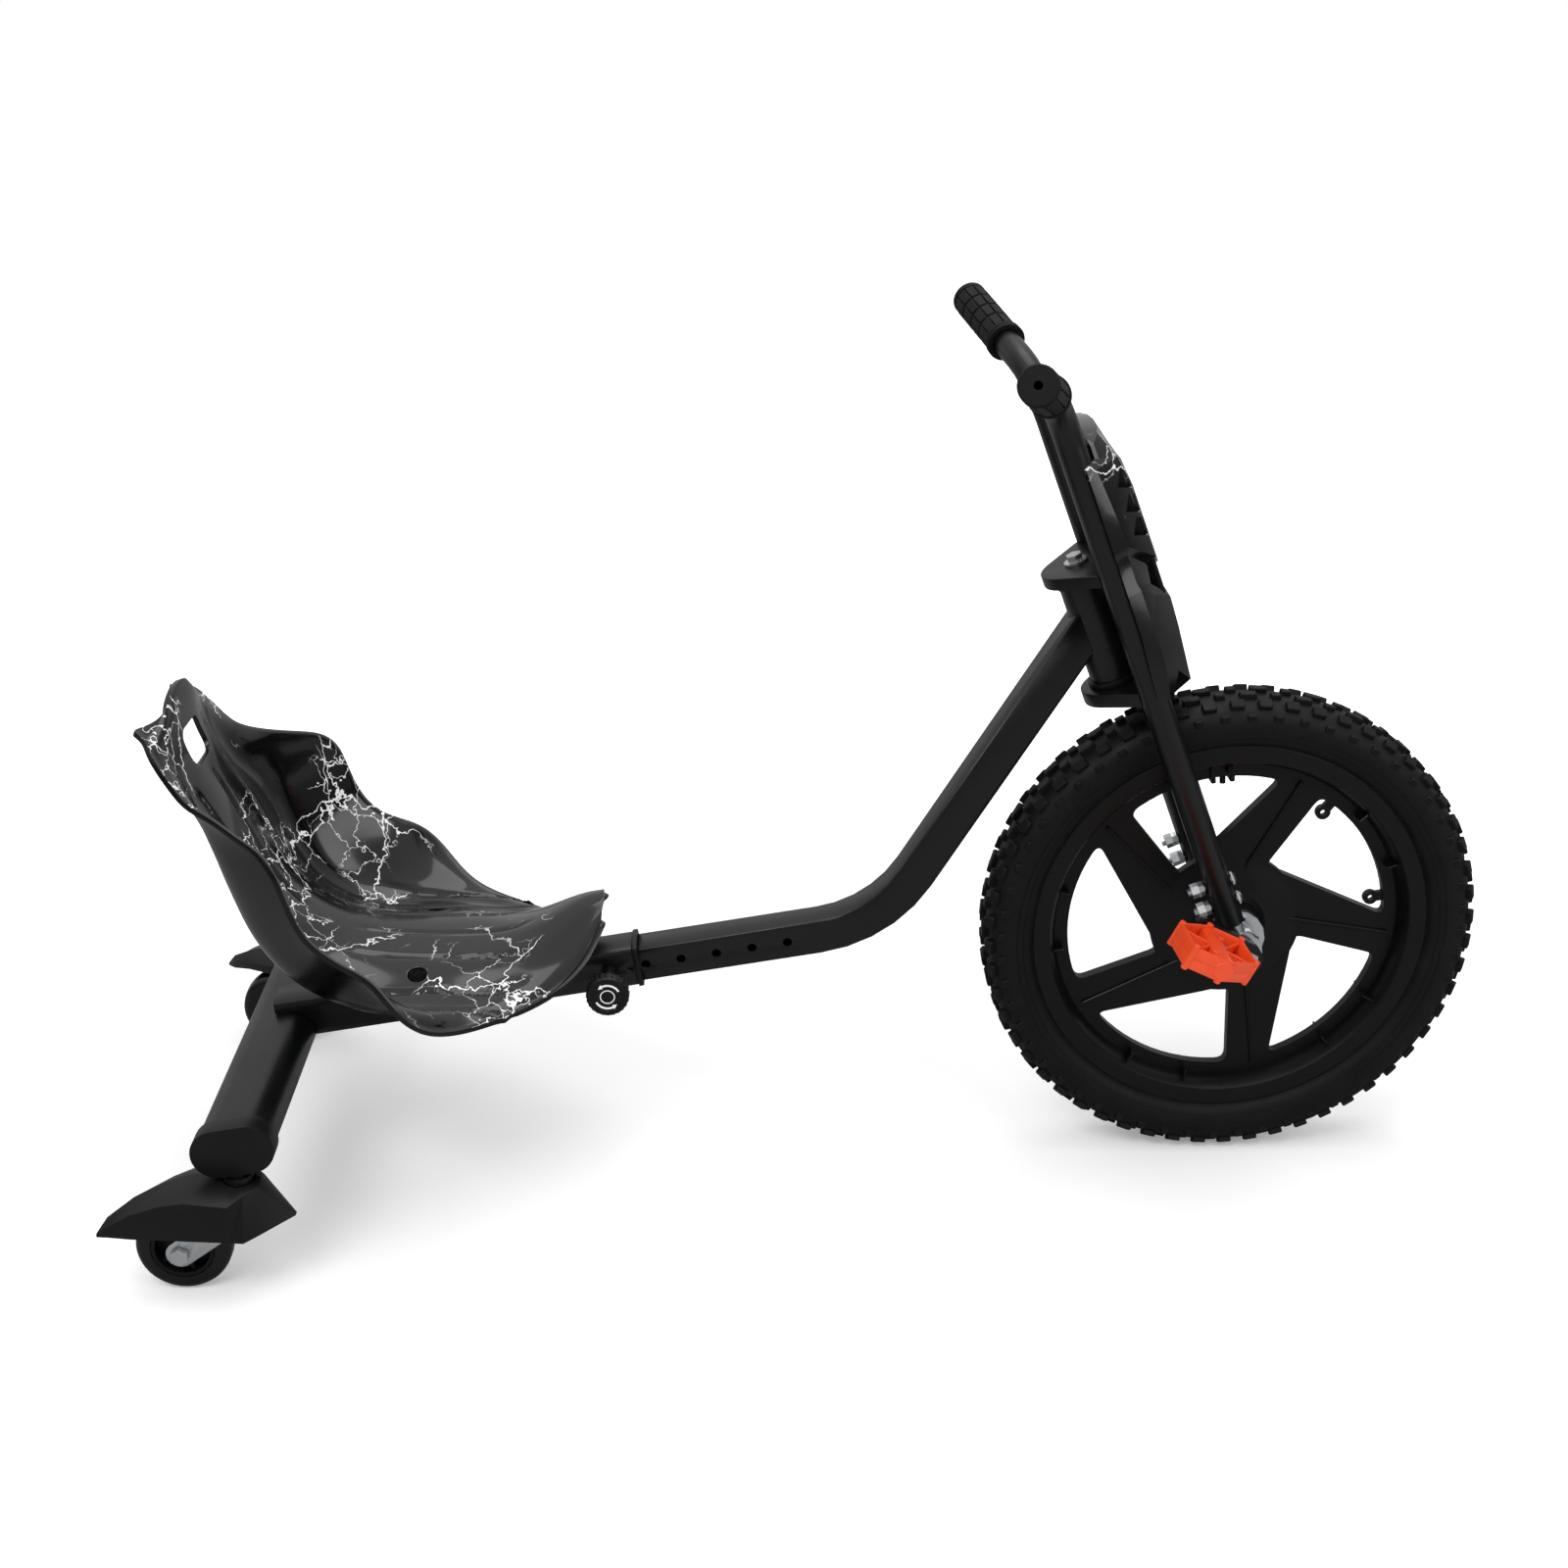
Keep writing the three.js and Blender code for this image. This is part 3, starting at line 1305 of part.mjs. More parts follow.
// Open cage pedal with a boss, crossed ribs and corner studs, drawn round its middle
function pedalBody(side) {
  const halfWidth = (pedalOuter - pedalInner) / 2;
  const half = pedalPlanShares.map(([along, out]) => [along * pedalHalfLength, -side * out * halfWidth]);
  const plan = [...half, ...half.map(([along, across]) => [-along, -across])];
  const inset = plan.map(([along, across]) => {
    const reach = Math.hypot(along, across);
    const shrink = 1 - pedalWall * Math.SQRT2 / reach;
    return [along * shrink, across * shrink];
  });
  const cage = slab(outline(plan), pedalThickness).translate(0, 0, -pedalThickness / 2);
  const room = slab(outline(inset), pedalThickness + 2 * overrun);
  room.translate(0, 0, -pedalThickness / 2 - overrun);
  const boss = crossRod(pedalBossRadius, -halfWidth, halfWidth);
  const ribs = [[half[0], half[0]], [half[2], half[2]]].map(([corner]) => {
    const length = 2 * Math.hypot(corner[0], corner[1]) - 2 * pedalWall;
    const rib = block(length, pedalWall / 2, pedalThickness - pedalWall);
    return rib.rotateZ(Math.atan2(corner[1], corner[0]));
  });
  const studs = inset.map(([along, across]) => {
    const stud = rod(studRadius, studHeight, hexSides);
    return stud.translate(along, across, -studHeight / 2);
  });
  const bore = crossRod(spindleRadius + clearance, -halfWidth - overrun, halfWidth + overrun, smallSides);
  const blindWall = crossRod(pedalBossRadius, side * (halfWidth - pedalWall + clearance), side * halfWidth);
  return join(cut(join(cut(cage, room), boss, ...ribs, ...studs), bore), blindWall);
}

// Seat, drawn in the layout's frame

function acrossShares() {
  const shares = [];
  for (let step = -seatRunCount; step <= seatRunCount; step += 1) {
    shares.push(Math.sin((step / seatRunCount) * quarterTurn));
  }
  return shares;
}

// Away from the sitter, square to the middle line of the face
function stationOutward(count) {
  const [nextAlong, nextUp] = seatStationShares[Math.min(count + 1, seatStationShares.length - 1)];
  const [lastAlong, lastUp] = seatStationShares[Math.max(count - 1, 0)];
  const along = (nextAlong - lastAlong) * seatLength;
  const up = (nextUp - lastUp) * seatHeight;
  return new THREE.Vector3(up, 0, -along).normalize();
}

// The sitting face: one row of points for each station, and a lip turned outwards at the rim
function seatFace() {
  return seatStationShares.map((row, count) => {
    const [midAlong, midUp, rimAlong, rimUp, width, power, channel] = row;
    const outward = stationOutward(count);
    const points = acrossShares().map((share) => {
      const bend = Math.abs(share) ** power;
      const reach = Math.min(1, Math.abs(share) / channelEndShare) ** 2;
      const dip = Math.sin(Math.PI * reach) ** 2 * channel * seatHeight;
      const along = (midAlong + (rimAlong - midAlong) * bend) * seatLength - seatRear;
      const up = (midUp + (rimUp - midUp) * bend) * seatHeight + seatBase;
      return new THREE.Vector3(along, share * width * seatHalfWidth, up).addScaledVector(outward, dip);
    });
    const lip = points.at(-1).clone().add(new THREE.Vector3(0, seatLip, 0));
    const otherLip = lip.clone().setY(-lip.y);
    return [otherLip, ...points, lip];
  });
}

function gridNormal(grid, row, column) {
  const up = grid[Math.min(row + 1, grid.length - 1)][column];
  const down = grid[Math.max(row - 1, 0)][column];
  const left = grid[row][Math.min(column + 1, grid[row].length - 1)];
  const right = grid[row][Math.max(column - 1, 0)];
  return up.clone().sub(down).cross(left.clone().sub(right)).normalize();
}

// Two sheets of points sewn together along their edges
function shellBody(face, back) {
  const rows = face.length;
  const columns = face[0].length;
  const places = [...face.flat(), ...back.flat()].flatMap((point) => point.toArray());
  const at = (layer, row, column) => layer * rows * columns + row * columns + column;
  const index = [];
  const patch = (a, b, c, d) => index.push(a, b, c, a, c, d);
  for (let row = 0; row < rows - 1; row += 1) {
    for (let column = 0; column < columns - 1; column += 1) {
      const corners = [[row, column], [row, column + 1], [row + 1, column + 1], [row + 1, column]];
      patch(...corners.map(([r, c]) => at(0, r, c)));
      patch(...corners.map(([r, c]) => at(1, r, c)).reverse());
    }
    for (const column of [0, columns - 1]) {
      const wall = [at(0, row, column), at(0, row + 1, column), at(1, row + 1, column), at(1, row, column)];
      patch(...(column === 0 ? wall : wall.reverse()));
    }
  }
  for (let column = 0; column < columns - 1; column += 1) {
    for (const row of [0, rows - 1]) {
      const wall = [at(0, row, column), at(1, row, column), at(1, row, column + 1), at(0, row, column + 1)];
      patch(...(row === 0 ? wall : wall.reverse()));
    }
  }
  const geometry = new THREE.BufferGeometry();
  geometry.setAttribute('position', new THREE.Float32BufferAttribute(places, 3));
  geometry.setIndex(index);
  return facingOut(geometry);
}

function seatShell() {
  const face = seatFace();
  const back = face.map((row, r) => row.map((point, c) => (
    point.clone().addScaledVector(gridNormal(face, r, c), -seatWall)
  )));
  const shell = shellBody(face, back);
  const below = face.map((row) => row.map((point) => point.clone().setZ(point.z - seatBossRoom)));
  const underFace = shellBody(face, below);
  const handHole = endSlab(
    roundedBox(handHoleWidth, handHoleDepth, handHoleCorner), -seatRear - seatHalfWidth, -casterReach,
  ).translate(0, 0, seatBase + handHoleHeight);
  const bosses = [];
  const recesses = [];
  for (const side of [-1, 1]) {
    const across = side * seatBoltSpread;
    const boss = rod(seatBossRadius, seatBossRoom).translate(-seatBoltRun, across, seatPlateTop);
    bosses.push(shared(fromSlope(boss), underFace));
    const recess = rod(seatRecessRadius, seatHeight);
    recesses.push(fromSlope(recess.translate(-seatBoltRun, across, seatPlateTop + seatRecessFloor)));
    const hole = rod(seatBoltRadius + clearance, seatBossRoom, holeSides);
    recesses.push(fromSlope(hole.translate(-seatBoltRun, across, seatPlateTop - overrun)));
  }
  return cut(join(shell, ...bosses), handHole, ...recesses);
}

function seatPlate() {
  const bottom = receiverTop + clearance;
  const plate = block(seatPlateLength, 2 * seatPlateHalf, seatPlateThickness);
  plate.translate(-seatBoltRun, 0, bottom + seatPlateThickness / 2);
  const holes = [-1, 1].map((side) => rod(seatBoltRadius + clearance, seatBossRoom, holeSides).translate(
    -seatBoltRun, side * seatBoltSpread, bottom - overrun,
  ));
  return cut(plate, ...holes);
}

// Hex bolt and nut through the seat boss and its plate, drawn from the plate's lower face
function seatBolt() {
  const headFace = seatPlateThickness + 2 * clearance + seatRecessFloor;
  const shankLength = headFace + seatBoltNutHeight + 2 * clearance;
  const head = rod(seatBoltHead, seatBoltHeadHeight, hexSides).translate(0, 0, headFace);
  const shank = rod(seatBoltRadius, shankLength, holeSides).translate(0, 0, headFace - shankLength + clearance);
  const nut = rod(seatBoltHead, seatBoltNutHeight, hexSides).translate(0, 0, -seatBoltNutHeight - clearance);
  return join(head, shank, nut);
}

function buildSeat() {
  addPart(layout, 'seat_shell', seatShell(), glossBlack);
  addPart(slope, 'seat_bracket', seatPlate(), powderBlack);
  for (const side of [-1, 1]) {
    const bolt = addPart(slope, `seat_bolt_${mirrored(side)}`, seatBolt(), zincSilver);
    bolt.position.set(-seatBoltRun, side * seatBoltSpread, receiverTop + clearance);
  }
}

buildFrontFrame();
buildReceiver();
buildRearBeam();
buildCaster(-1);
buildCaster(1);
buildFork();
buildWheel();
buildSeat();

export default trike;
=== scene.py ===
import math

import bpy
from mathutils import Matrix, Vector


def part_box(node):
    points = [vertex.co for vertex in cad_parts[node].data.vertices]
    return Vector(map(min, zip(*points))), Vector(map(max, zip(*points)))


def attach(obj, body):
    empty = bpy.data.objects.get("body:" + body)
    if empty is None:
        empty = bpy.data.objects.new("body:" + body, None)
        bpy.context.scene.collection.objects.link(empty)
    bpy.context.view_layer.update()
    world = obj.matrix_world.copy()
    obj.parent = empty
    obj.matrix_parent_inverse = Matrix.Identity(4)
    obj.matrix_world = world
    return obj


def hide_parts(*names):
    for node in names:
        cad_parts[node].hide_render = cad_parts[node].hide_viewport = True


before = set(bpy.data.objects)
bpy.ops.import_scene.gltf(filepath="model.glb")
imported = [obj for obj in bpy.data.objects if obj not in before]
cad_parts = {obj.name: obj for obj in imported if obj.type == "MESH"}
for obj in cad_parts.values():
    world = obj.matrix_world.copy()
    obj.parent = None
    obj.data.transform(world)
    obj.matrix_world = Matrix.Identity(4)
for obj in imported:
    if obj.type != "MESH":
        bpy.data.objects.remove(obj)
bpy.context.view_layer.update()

# Tyre
# A 16 inch pneumatic tyre of black rubber, moulded with blocky knobs in six rows.
# It sits on the bead seats of the wheel's rim and is held there by air.
MM = 0.001
AXLE_X, AXLE_Z = 338.5, 203
WHEEL_CENTRE = Vector((AXLE_X, 0, AXLE_Z)) * MM


def deselect_all():
    """Leaves edit mode and deselects every object, the CAD's own among them."""
    if bpy.context.object and bpy.context.object.mode != "OBJECT":
        bpy.ops.object.mode_set(mode="OBJECT")
    bpy.ops.object.select_all(action="DESELECT")


def pick(piece):
    """Makes one object the only selected and active one."""
    deselect_all()
    piece.select_set(True)
    bpy.context.view_layer.objects.active = piece
    return piece


def merge_doubles(piece):
    """Welds points within 0.01 mm of each other and turns every face outwards."""
    pick(piece)
    bpy.ops.object.mode_set(mode="EDIT")
    bpy.ops.mesh.select_all(action="SELECT")
    bpy.ops.mesh.remove_doubles(threshold=0.01 * MM)
    bpy.ops.mesh.normals_make_consistent(inside=False)
    bpy.ops.object.mode_set(mode="OBJECT")
    return piece


def settle(piece, smooth_deg=35):
    """Puts the piece's place into its mesh and shades its round faces smooth."""
    pick(piece)
    bpy.ops.object.transform_apply(location=True, rotation=True, scale=True)
    bpy.ops.object.shade_smooth_by_angle(angle=math.radians(smooth_deg))
    return piece


def turned(name, profile, sides=96, centre=(0, 0, 0), axis=(0, 1, 0), smooth_deg=35):
    """Spins a closed outline of (radius, along) points, in mm, round an axis through centre."""
    deselect_all()
    bpy.ops.mesh.primitive_circle_add(vertices=len(profile), radius=1, location=(0, 0, 0))
    piece = bpy.context.object
    piece.name = name
    along = Vector(axis).normalized()
    outward = along.orthogonal().normalized()
    if abs(along.y) > 0.9:
        outward = Vector((1, 0, 0))
    for point, (radius, reach) in zip(piece.data.vertices, profile):
        point.co = Vector(centre) + outward * radius * MM + along * reach * MM
    bpy.ops.object.mode_set(mode="EDIT")
    bpy.ops.mesh.select_all(action="SELECT")
    bpy.ops.mesh.spin(steps=sides, angle=2 * math.pi, use_auto_merge=True,
                      center=tuple(centre), axis=tuple(along))
    bpy.ops.object.mode_set(mode="OBJECT")
    return settle(merge_doubles(piece), smooth_deg)


def block(name, size, centre, turn=(0, 0, 0), bevel=0.0, segments=2):
    """A box of size (x, y, z) in mm, with its edges bevelled in edit mode."""
    deselect_all()
    bpy.ops.mesh.primitive_cube_add(size=1, location=(0, 0, 0))
    piece = bpy.context.object
    piece.name = name
    piece.scale = Vector(size) * MM
    bpy.ops.object.transform_apply(location=False, rotation=False, scale=True)
    if bevel:
        bpy.ops.object.mode_set(mode="EDIT")
        bpy.ops.mesh.select_all(action="SELECT")
        bpy.ops.mesh.bevel(offset=bevel * MM, segments=segments, affect="EDGES")
        bpy.ops.object.mode_set(mode="OBJECT")
    piece.rotation_euler = turn
    piece.location = Vector(centre) * MM
    bpy.ops.object.transform_apply(location=True, rotation=True, scale=True)
    return piece


def copies(piece, matrices):
    """Copies a piece and its mesh once for each matrix, and applies the matrix to the mesh."""
    made = []
    for place in matrices:
        pick(piece)
        bpy.ops.object.duplicate(linked=False)
        twin = bpy.context.object
        twin.data.transform(place)
        made.append(twin)
    return made


def joined(first, others):
    """Joins other pieces into the first."""
    deselect_all()
    for other in others:
        other.select_set(True)
    first.select_set(True)
    bpy.context.view_layer.objects.active = first
    bpy.ops.object.join()
    return first


def round_wheel(angle):
    """A turn by an angle round the front wheel's axle."""
    return (Matrix.Translation(WHEEL_CENTRE) @ Matrix.Rotation(angle, 4, "Y")
            @ Matrix.Translation(-WHEEL_CENTRE))


def linear(text):
    """Turns an sRGB hex colour into Blender's linear colour."""
    channels = [int(text[i:i + 2], 16) / 255 for i in (1, 3, 5)]
    straight = [c / 12.92 if c <= 0.04045 else ((c + 0.055) / 1.055) ** 2.4 for c in channels]
    return (*straight, 1)


def add_node(finish, kind, inputs=None, **settings):
    """Adds one node to a material, with its settings, and its input values or links."""
    made = finish.node_tree.nodes.new(kind)
    for name, value in settings.items():
        setattr(made, name, value)
    for name, value in (inputs or {}).items():
        if isinstance(value, bpy.types.NodeSocket):
            finish.node_tree.links.new(value, made.inputs[name])
        else:
            made.inputs[name].default_value = value
    return made


def new_finish(name, inputs):
    """A new material with these constants on its shader."""
    finish = bpy.data.materials.new(name)
    finish.use_nodes = True
    shader = finish.node_tree.nodes["Principled BSDF"]
    for socket, value in inputs.items():
        shader.inputs[socket].default_value = value
    return finish


def link(finish, output, socket):
    """Links an output to a socket of the material's shader."""
    shader = finish.node_tree.nodes["Principled BSDF"]
    finish.node_tree.links.new(output, shader.inputs[socket])


def per_mm(size):
    """The scale of a texture whose features are this many millimetres apart."""
    return 1000 / size


def dress(piece, finish):
    """Gives a piece one material."""
    piece.data.materials.clear()
    piece.data.materials.append(finish)


# Moulded tyre rubber: deep black and matt, in faint clouds, over a grain that is drawn coarser than
# life so that it shows
tyre_rubber = new_finish("moulded_tyre_rubber", {
    "Base Color": linear("#070708"), "Roughness": 0.55, "IOR": 1.52, "Specular IOR Level": 0.2})
place = add_node(tyre_rubber, "ShaderNodeTexCoord")
cloud = add_node(tyre_rubber, "ShaderNodeTexNoise", {
    "Vector": place.outputs["Object"], "Scale": per_mm(28), "Detail": 5.0, "Roughness": 0.6})
tint = add_node(tyre_rubber, "ShaderNodeValToRGB", {"Fac": cloud.outputs["Fac"]})
for stop, (where, colour) in zip(tint.color_ramp.elements, ((0.35, "#050606"), (0.72, "#0c0d0e"))):
    stop.position, stop.color = where, linear(colour)
link(tyre_rubber, tint.outputs["Color"], "Base Color")
gloss = add_node(tyre_rubber, "ShaderNodeMapRange", {
    "Value": cloud.outputs["Fac"], "From Min": 0.3, "From Max": 0.7, "To Min": 0.5, "To Max": 0.7})
link(tyre_rubber, gloss.outputs["Result"], "Roughness")
grain = add_node(tyre_rubber, "ShaderNodeTexNoise", {
    "Vector": place.outputs["Object"], "Scale": per_mm(1.6), "Detail": 3.0})
bump = add_node(tyre_rubber, "ShaderNodeBump", {
    "Height": grain.outputs["Fac"], "Strength": 0.25, "Distance": 0.3 * MM})
link(tyre_rubber, bump.outputs["Normal"], "Normal")

# Half of the casing's outline as (radius, across), from the bead to the middle, outside and inside
CASING = [(152.9, 16.2), (155.5, 18.2), (160, 18.4), (163, 19.8), (164.2, 22.4), (167, 24.6),
          (172, 26.6), (178, 27.8), (183, 27.9), (188, 26.8), (193, 23.6), (196.4, 18.6),
          (198.4, 12), (199, 6), (199, 0)]
INNER = [(153.5, 12.6), (160, 14.6), (170, 22.4), (182, 24), (192, 19), (195.4, 8), (195.6, 0)]
outer = CASING + [(r, -y) for r, y in reversed(CASING[:-1])]
inner = [(r, -y) for r, y in INNER] + [(r, y) for r, y in reversed(INNER[:-1])]
ROUND_SIDES = 160
tyre = turned("tyre_moulded", outer + inner, ROUND_SIDES, WHEEL_CENTRE, smooth_deg=50)

# The rows of knobs on each side of the middle: size outwards, across and along, bevel, radius and
# place across, lean in degrees, and first pitch, step and shift in pitches round the tyre
KNOB_PITCHES = 56
KNOB_ROWS = (
    ((7.0, 8.6, 13.5), 0.8, 199.4, 7.2, 0, 0, 2, 0),
    ((6.0, 8.0, 8.0), 0.8, 199.7, 6.4, 0, 1, 2, 0),
    ((6.6, 8.6, 11.0), 0.8, 196.6, 19.4, 30, 0, 1, 0.5),
    ((8.5, 3.2, 7.0), 0.7, 187.0, 26.4, 14, 0, 1, 0))
PITCH = 2 * math.pi / KNOB_PITCHES
relief = []
for side, offset in ((-1, 0), (1, 0.5)):
    for size, bevel, radius, across, lean, first, stride, shift in KNOB_ROWS:
        knob = block("knob", size, (AXLE_X + radius, side * across, AXLE_Z),
                     (0, 0, side * math.radians(lean)), bevel, 1)
        relief += copies(knob, [round_wheel(PITCH * (k + offset + shift))
                                for k in range(first, KNOB_PITCHES, stride)])
        bpy.data.objects.remove(knob)
# Thin raised rings round the sidewall, where the mould's parts meet
for side in (-1, 1):
    for radius, across in ((170.5, 26.2), (175.5, 27.6)):
        relief.append(turned("ring", [
            (radius - 0.7, side * (across - 1.2)), (radius - 0.5, side * across),
            (radius + 0.3, side * (across + 0.35)), (radius + 0.9, side * (across - 0.8))],
            ROUND_SIDES, WHEEL_CENTRE))
tyre = joined(tyre, relief)
dress(tyre, tyre_rubber)
settle(tyre, 40)
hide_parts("tyre")
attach(tyre, "front_wheel")

# Wheel
# A one-piece wheel of black glass-filled nylon: an outer channel, a thin web with five windows,
# and a hub. It is injection moulded, and turns with the axle and the cranks.


def give_skin(finish, cloud, colours=None, gloss=None, grain=None, dent=None):
    """Makes a finish uneven as a real skin is: its colour and roughness drift over a soft cloud,
    and a fine grain dents it. cloud and grain are (size in mm, detail), colours are the two ends
    of the colour, gloss those of the roughness, and dent is (strength, depth in mm)."""
    place = add_node(finish, "ShaderNodeTexCoord")
    drift = add_node(finish, "ShaderNodeTexNoise", {
        "Vector": place.outputs["Object"], "Scale": per_mm(cloud[0]), "Detail": cloud[1]})
    if colours:
        tint = add_node(finish, "ShaderNodeMix", {
            "Factor": drift.outputs["Fac"], "A": linear(colours[0]), "B": linear(colours[1])},
            data_type="RGBA")
        link(finish, tint.outputs["Result"], "Base Color")
    if gloss:
        sheen = add_node(finish, "ShaderNodeMapRange", {
            "Value": drift.outputs["Fac"], "From Min": 0.3, "From Max": 0.7,
            "To Min": gloss[0], "To Max": gloss[1]})
        link(finish, sheen.outputs["Result"], "Roughness")
    if grain:
        dents = add_node(finish, "ShaderNodeTexNoise", {
            "Vector": place.outputs["Object"], "Scale": per_mm(grain[0]), "Detail": grain[1]})
        bump = add_node(finish, "ShaderNodeBump", {
            "Height": dents.outputs["Fac"], "Strength": dent[0], "Distance": dent[1] * MM})
        link(finish, bump.outputs["Normal"], "Normal")


# Moulded nylon: black with a soft sheen that drifts a little, over a pebbled grain that is drawn
# coarser than life so that it shows
moulded_nylon = new_finish("moulded_black_nylon", {
    "Base Color": linear("#070708"), "Roughness": 0.32, "IOR": 1.53, "Specular IOR Level": 0.2})
give_skin(moulded_nylon, (45, 4.0), ("#060607", "#0c0d0e"), (0.3, 0.42))
place = add_node(moulded_nylon, "ShaderNodeTexCoord")
grain = add_node(moulded_nylon, "ShaderNodeTexVoronoi", {
    "Vector": place.outputs["Object"], "Scale": per_mm(1.1)})
bump = add_node(moulded_nylon, "ShaderNodeBump", {
    "Height": grain.outputs["Distance"], "Strength": 0.12, "Distance": 0.2 * MM})
link(moulded_nylon, bump.outputs["Normal"], "Normal")


def mirrored_profile(half):
    """A closed outline from its half on the right side."""
    return half + [(radius, -across) for radius, across in reversed(half)]


rim = turned("wheel_moulded", mirrored_profile([
    (141.5, 4.0), (146.5, 17.6), (148.2, 19.6), (151, 20.2), (161.4, 20.2), (162.7, 19.4),
    (162.7, 18.2), (161.4, 17.4), (154.2, 17.0), (152.6, 16.0)]), ROUND_SIDES, WHEEL_CENTRE)
web = turned("web", mirrored_profile([
    (24, 4), (58, 4), (64, 4.6), (125, 4.6), (131, 4), (142, 4)]), ROUND_SIDES, WHEEL_CENTRE)


def polar(radius, degrees):
    """A point of a side view, in mm from its middle."""
    return radius * math.cos(math.radians(degrees)), radius * math.sin(math.radians(degrees))


def filleted(corners, radius):
    """Rounds each sharp corner of an outline with a curve of five steps."""
    points, steps = [], 5
    for i, corner in enumerate(corners):
        here = Vector(corner)
        before = Vector(corners[i - 1]) - here
        after = Vector(corners[(i + 1) % len(corners)]) - here
        if before.angle(after) > math.radians(150):
            points.append(here)
            continue
        start = here + before.normalized() * radius
        end = here + after.normalized() * radius
        for step in range(steps + 1):
            t = step / steps
            points.append(start * (1 - t) ** 2 + here * 2 * t * (1 - t) + end * t ** 2)
    return points


def side_slab(name, points, low, high, centre):
    """An outline in the side view, (x, z) in mm from centre, as a slab between two y places."""
    deselect_all()
    bpy.ops.mesh.primitive_circle_add(
        vertices=len(points), radius=1, fill_type="NGON", location=(0, 0, 0))
    piece = bpy.context.object
    piece.name = name
    for point, (x, z) in zip(piece.data.vertices, points):
        point.co = Vector(centre) + Vector((x, 0, z)) * MM + Vector((0, low * MM, 0))
    bpy.ops.object.mode_set(mode="EDIT")
    bpy.ops.mesh.select_all(action="SELECT")
    bpy.ops.mesh.extrude_region_move(TRANSFORM_OT_translate={"value": (0, (high - low) * MM, 0)})
    bpy.ops.mesh.select_all(action="SELECT")
    bpy.ops.mesh.normals_make_consistent(inside=False)
    bpy.ops.object.mode_set(mode="OBJECT")
    return piece


def cut_away(piece, cutters):
    """Cuts other solids out of a piece and removes them."""
    for cutter in cutters:
        pick(piece)
        change = piece.modifiers.new("cut", "BOOLEAN")
        change.operation = "DIFFERENCE"
        change.solver = "EXACT"
        change.object = cutter
        bpy.ops.object.modifier_apply(modifier=change.name)
        bpy.data.objects.remove(cutter)
    return piece


def bevelled(piece, width, angle, segments=2):
    """Rounds off the edges that turn by more than an angle in degrees; width in mm."""
    pick(piece)
    change = piece.modifiers.new("edges", "BEVEL")
    change.width = width * MM
    change.segments = segments
    change.limit_method = "ANGLE"
    change.angle_limit = math.radians(angle)
    bpy.ops.object.modifier_apply(modifier=change.name)
    return piece


def window_outline(tip_radius, tip_degrees, arc_radius, first_degrees, arc_degrees, fillet):
    """A three-cornered window: a tip near the hub and an arc along the channel."""
    arc = [polar(arc_radius, first_degrees + arc_degrees * k / 14) for k in range(15)]
    return filleted([polar(tip_radius, tip_degrees)] + arc, fillet)


WINDOWS = 5
FIFTHS = [round_wheel(-2 * math.pi * k / WINDOWS) for k in range(WINDOWS)]
window = window_outline(58.5, 61.2, 131, 2.6, 56.3, 8)
cutter = side_slab("window", window, -9, 9, WHEEL_CENTRE)
cutters = copies(cutter, FIFTHS)
bpy.data.objects.remove(cutter)
cut_away(web, cutters)

# A raised border stands round each window, and short ribs stiffen the channel behind the tyre
borders = []
for side in (-1, 1):
    border = side_slab("border", window_outline(53.5, 61.4, 133.5, 1.2, 59.2, 10),
                       side * 3.6, side * 9.0, WHEEL_CENTRE)
    hole = side_slab("hole", window, -12, 12, WHEEL_CENTRE)
    merge_doubles(border)
    cut_away(border, [hole])
    bevelled(border, 1.1, 50)
    borders += copies(border, FIFTHS)
    bpy.data.objects.remove(border)


def radial_block(name, size, radius, degrees, bevel, segments=1):
    """A block that points out from the axle, its middle at a radius and an angle."""
    x, z = polar(radius, degrees)
    return block(name, size, (AXLE_X + x, 0, AXLE_Z + z), (0, -math.radians(degrees), 0),
                 bevel, segments)


ribs = [radial_block("rib", (9, 30, 1.8), 140.5, degrees, 0.5) for degrees in (22.5, 43.5)]
rib_set = joined(ribs[0], ribs[1:])
fittings = copies(rib_set, FIFTHS[1:])

# Two eyes in the corners of one window, on short stalks
for degrees in (53.5, 9.9):
    x, z = polar(121, degrees)
    fittings.append(turned("eye", mirrored_profile([(2.4, 2.6), (5.6, 2.6), (6.2, 2.0)]), 32,
                           WHEEL_CENTRE + Vector((x, 0, z)) * MM))
    fittings.append(radial_block("stalk", (11, 4.6, 8.4), 128.5, degrees, 0.4))

# Two prongs that stand in from the channel on both sides of the valve
low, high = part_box("valve_stem")
valve = (low + high) / 2 - WHEEL_CENTRE
valve_degrees = math.degrees(math.atan2(valve.z, valve.x))
for degrees in (valve_degrees - 3.4, valve_degrees + 3.4):
    fittings.append(radial_block("prong", (15, 13, 4.2), 134, degrees, 1.2, 2))


def cad_dress(finish, *names):
    """Gives the material to CAD nodes that keep their own solids."""
    for name in names:
        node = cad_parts[name]
        if not node.material_slots:
            node.data.materials.append(finish)
        for place in node.material_slots:
            place.link = "OBJECT"
            place.material = finish


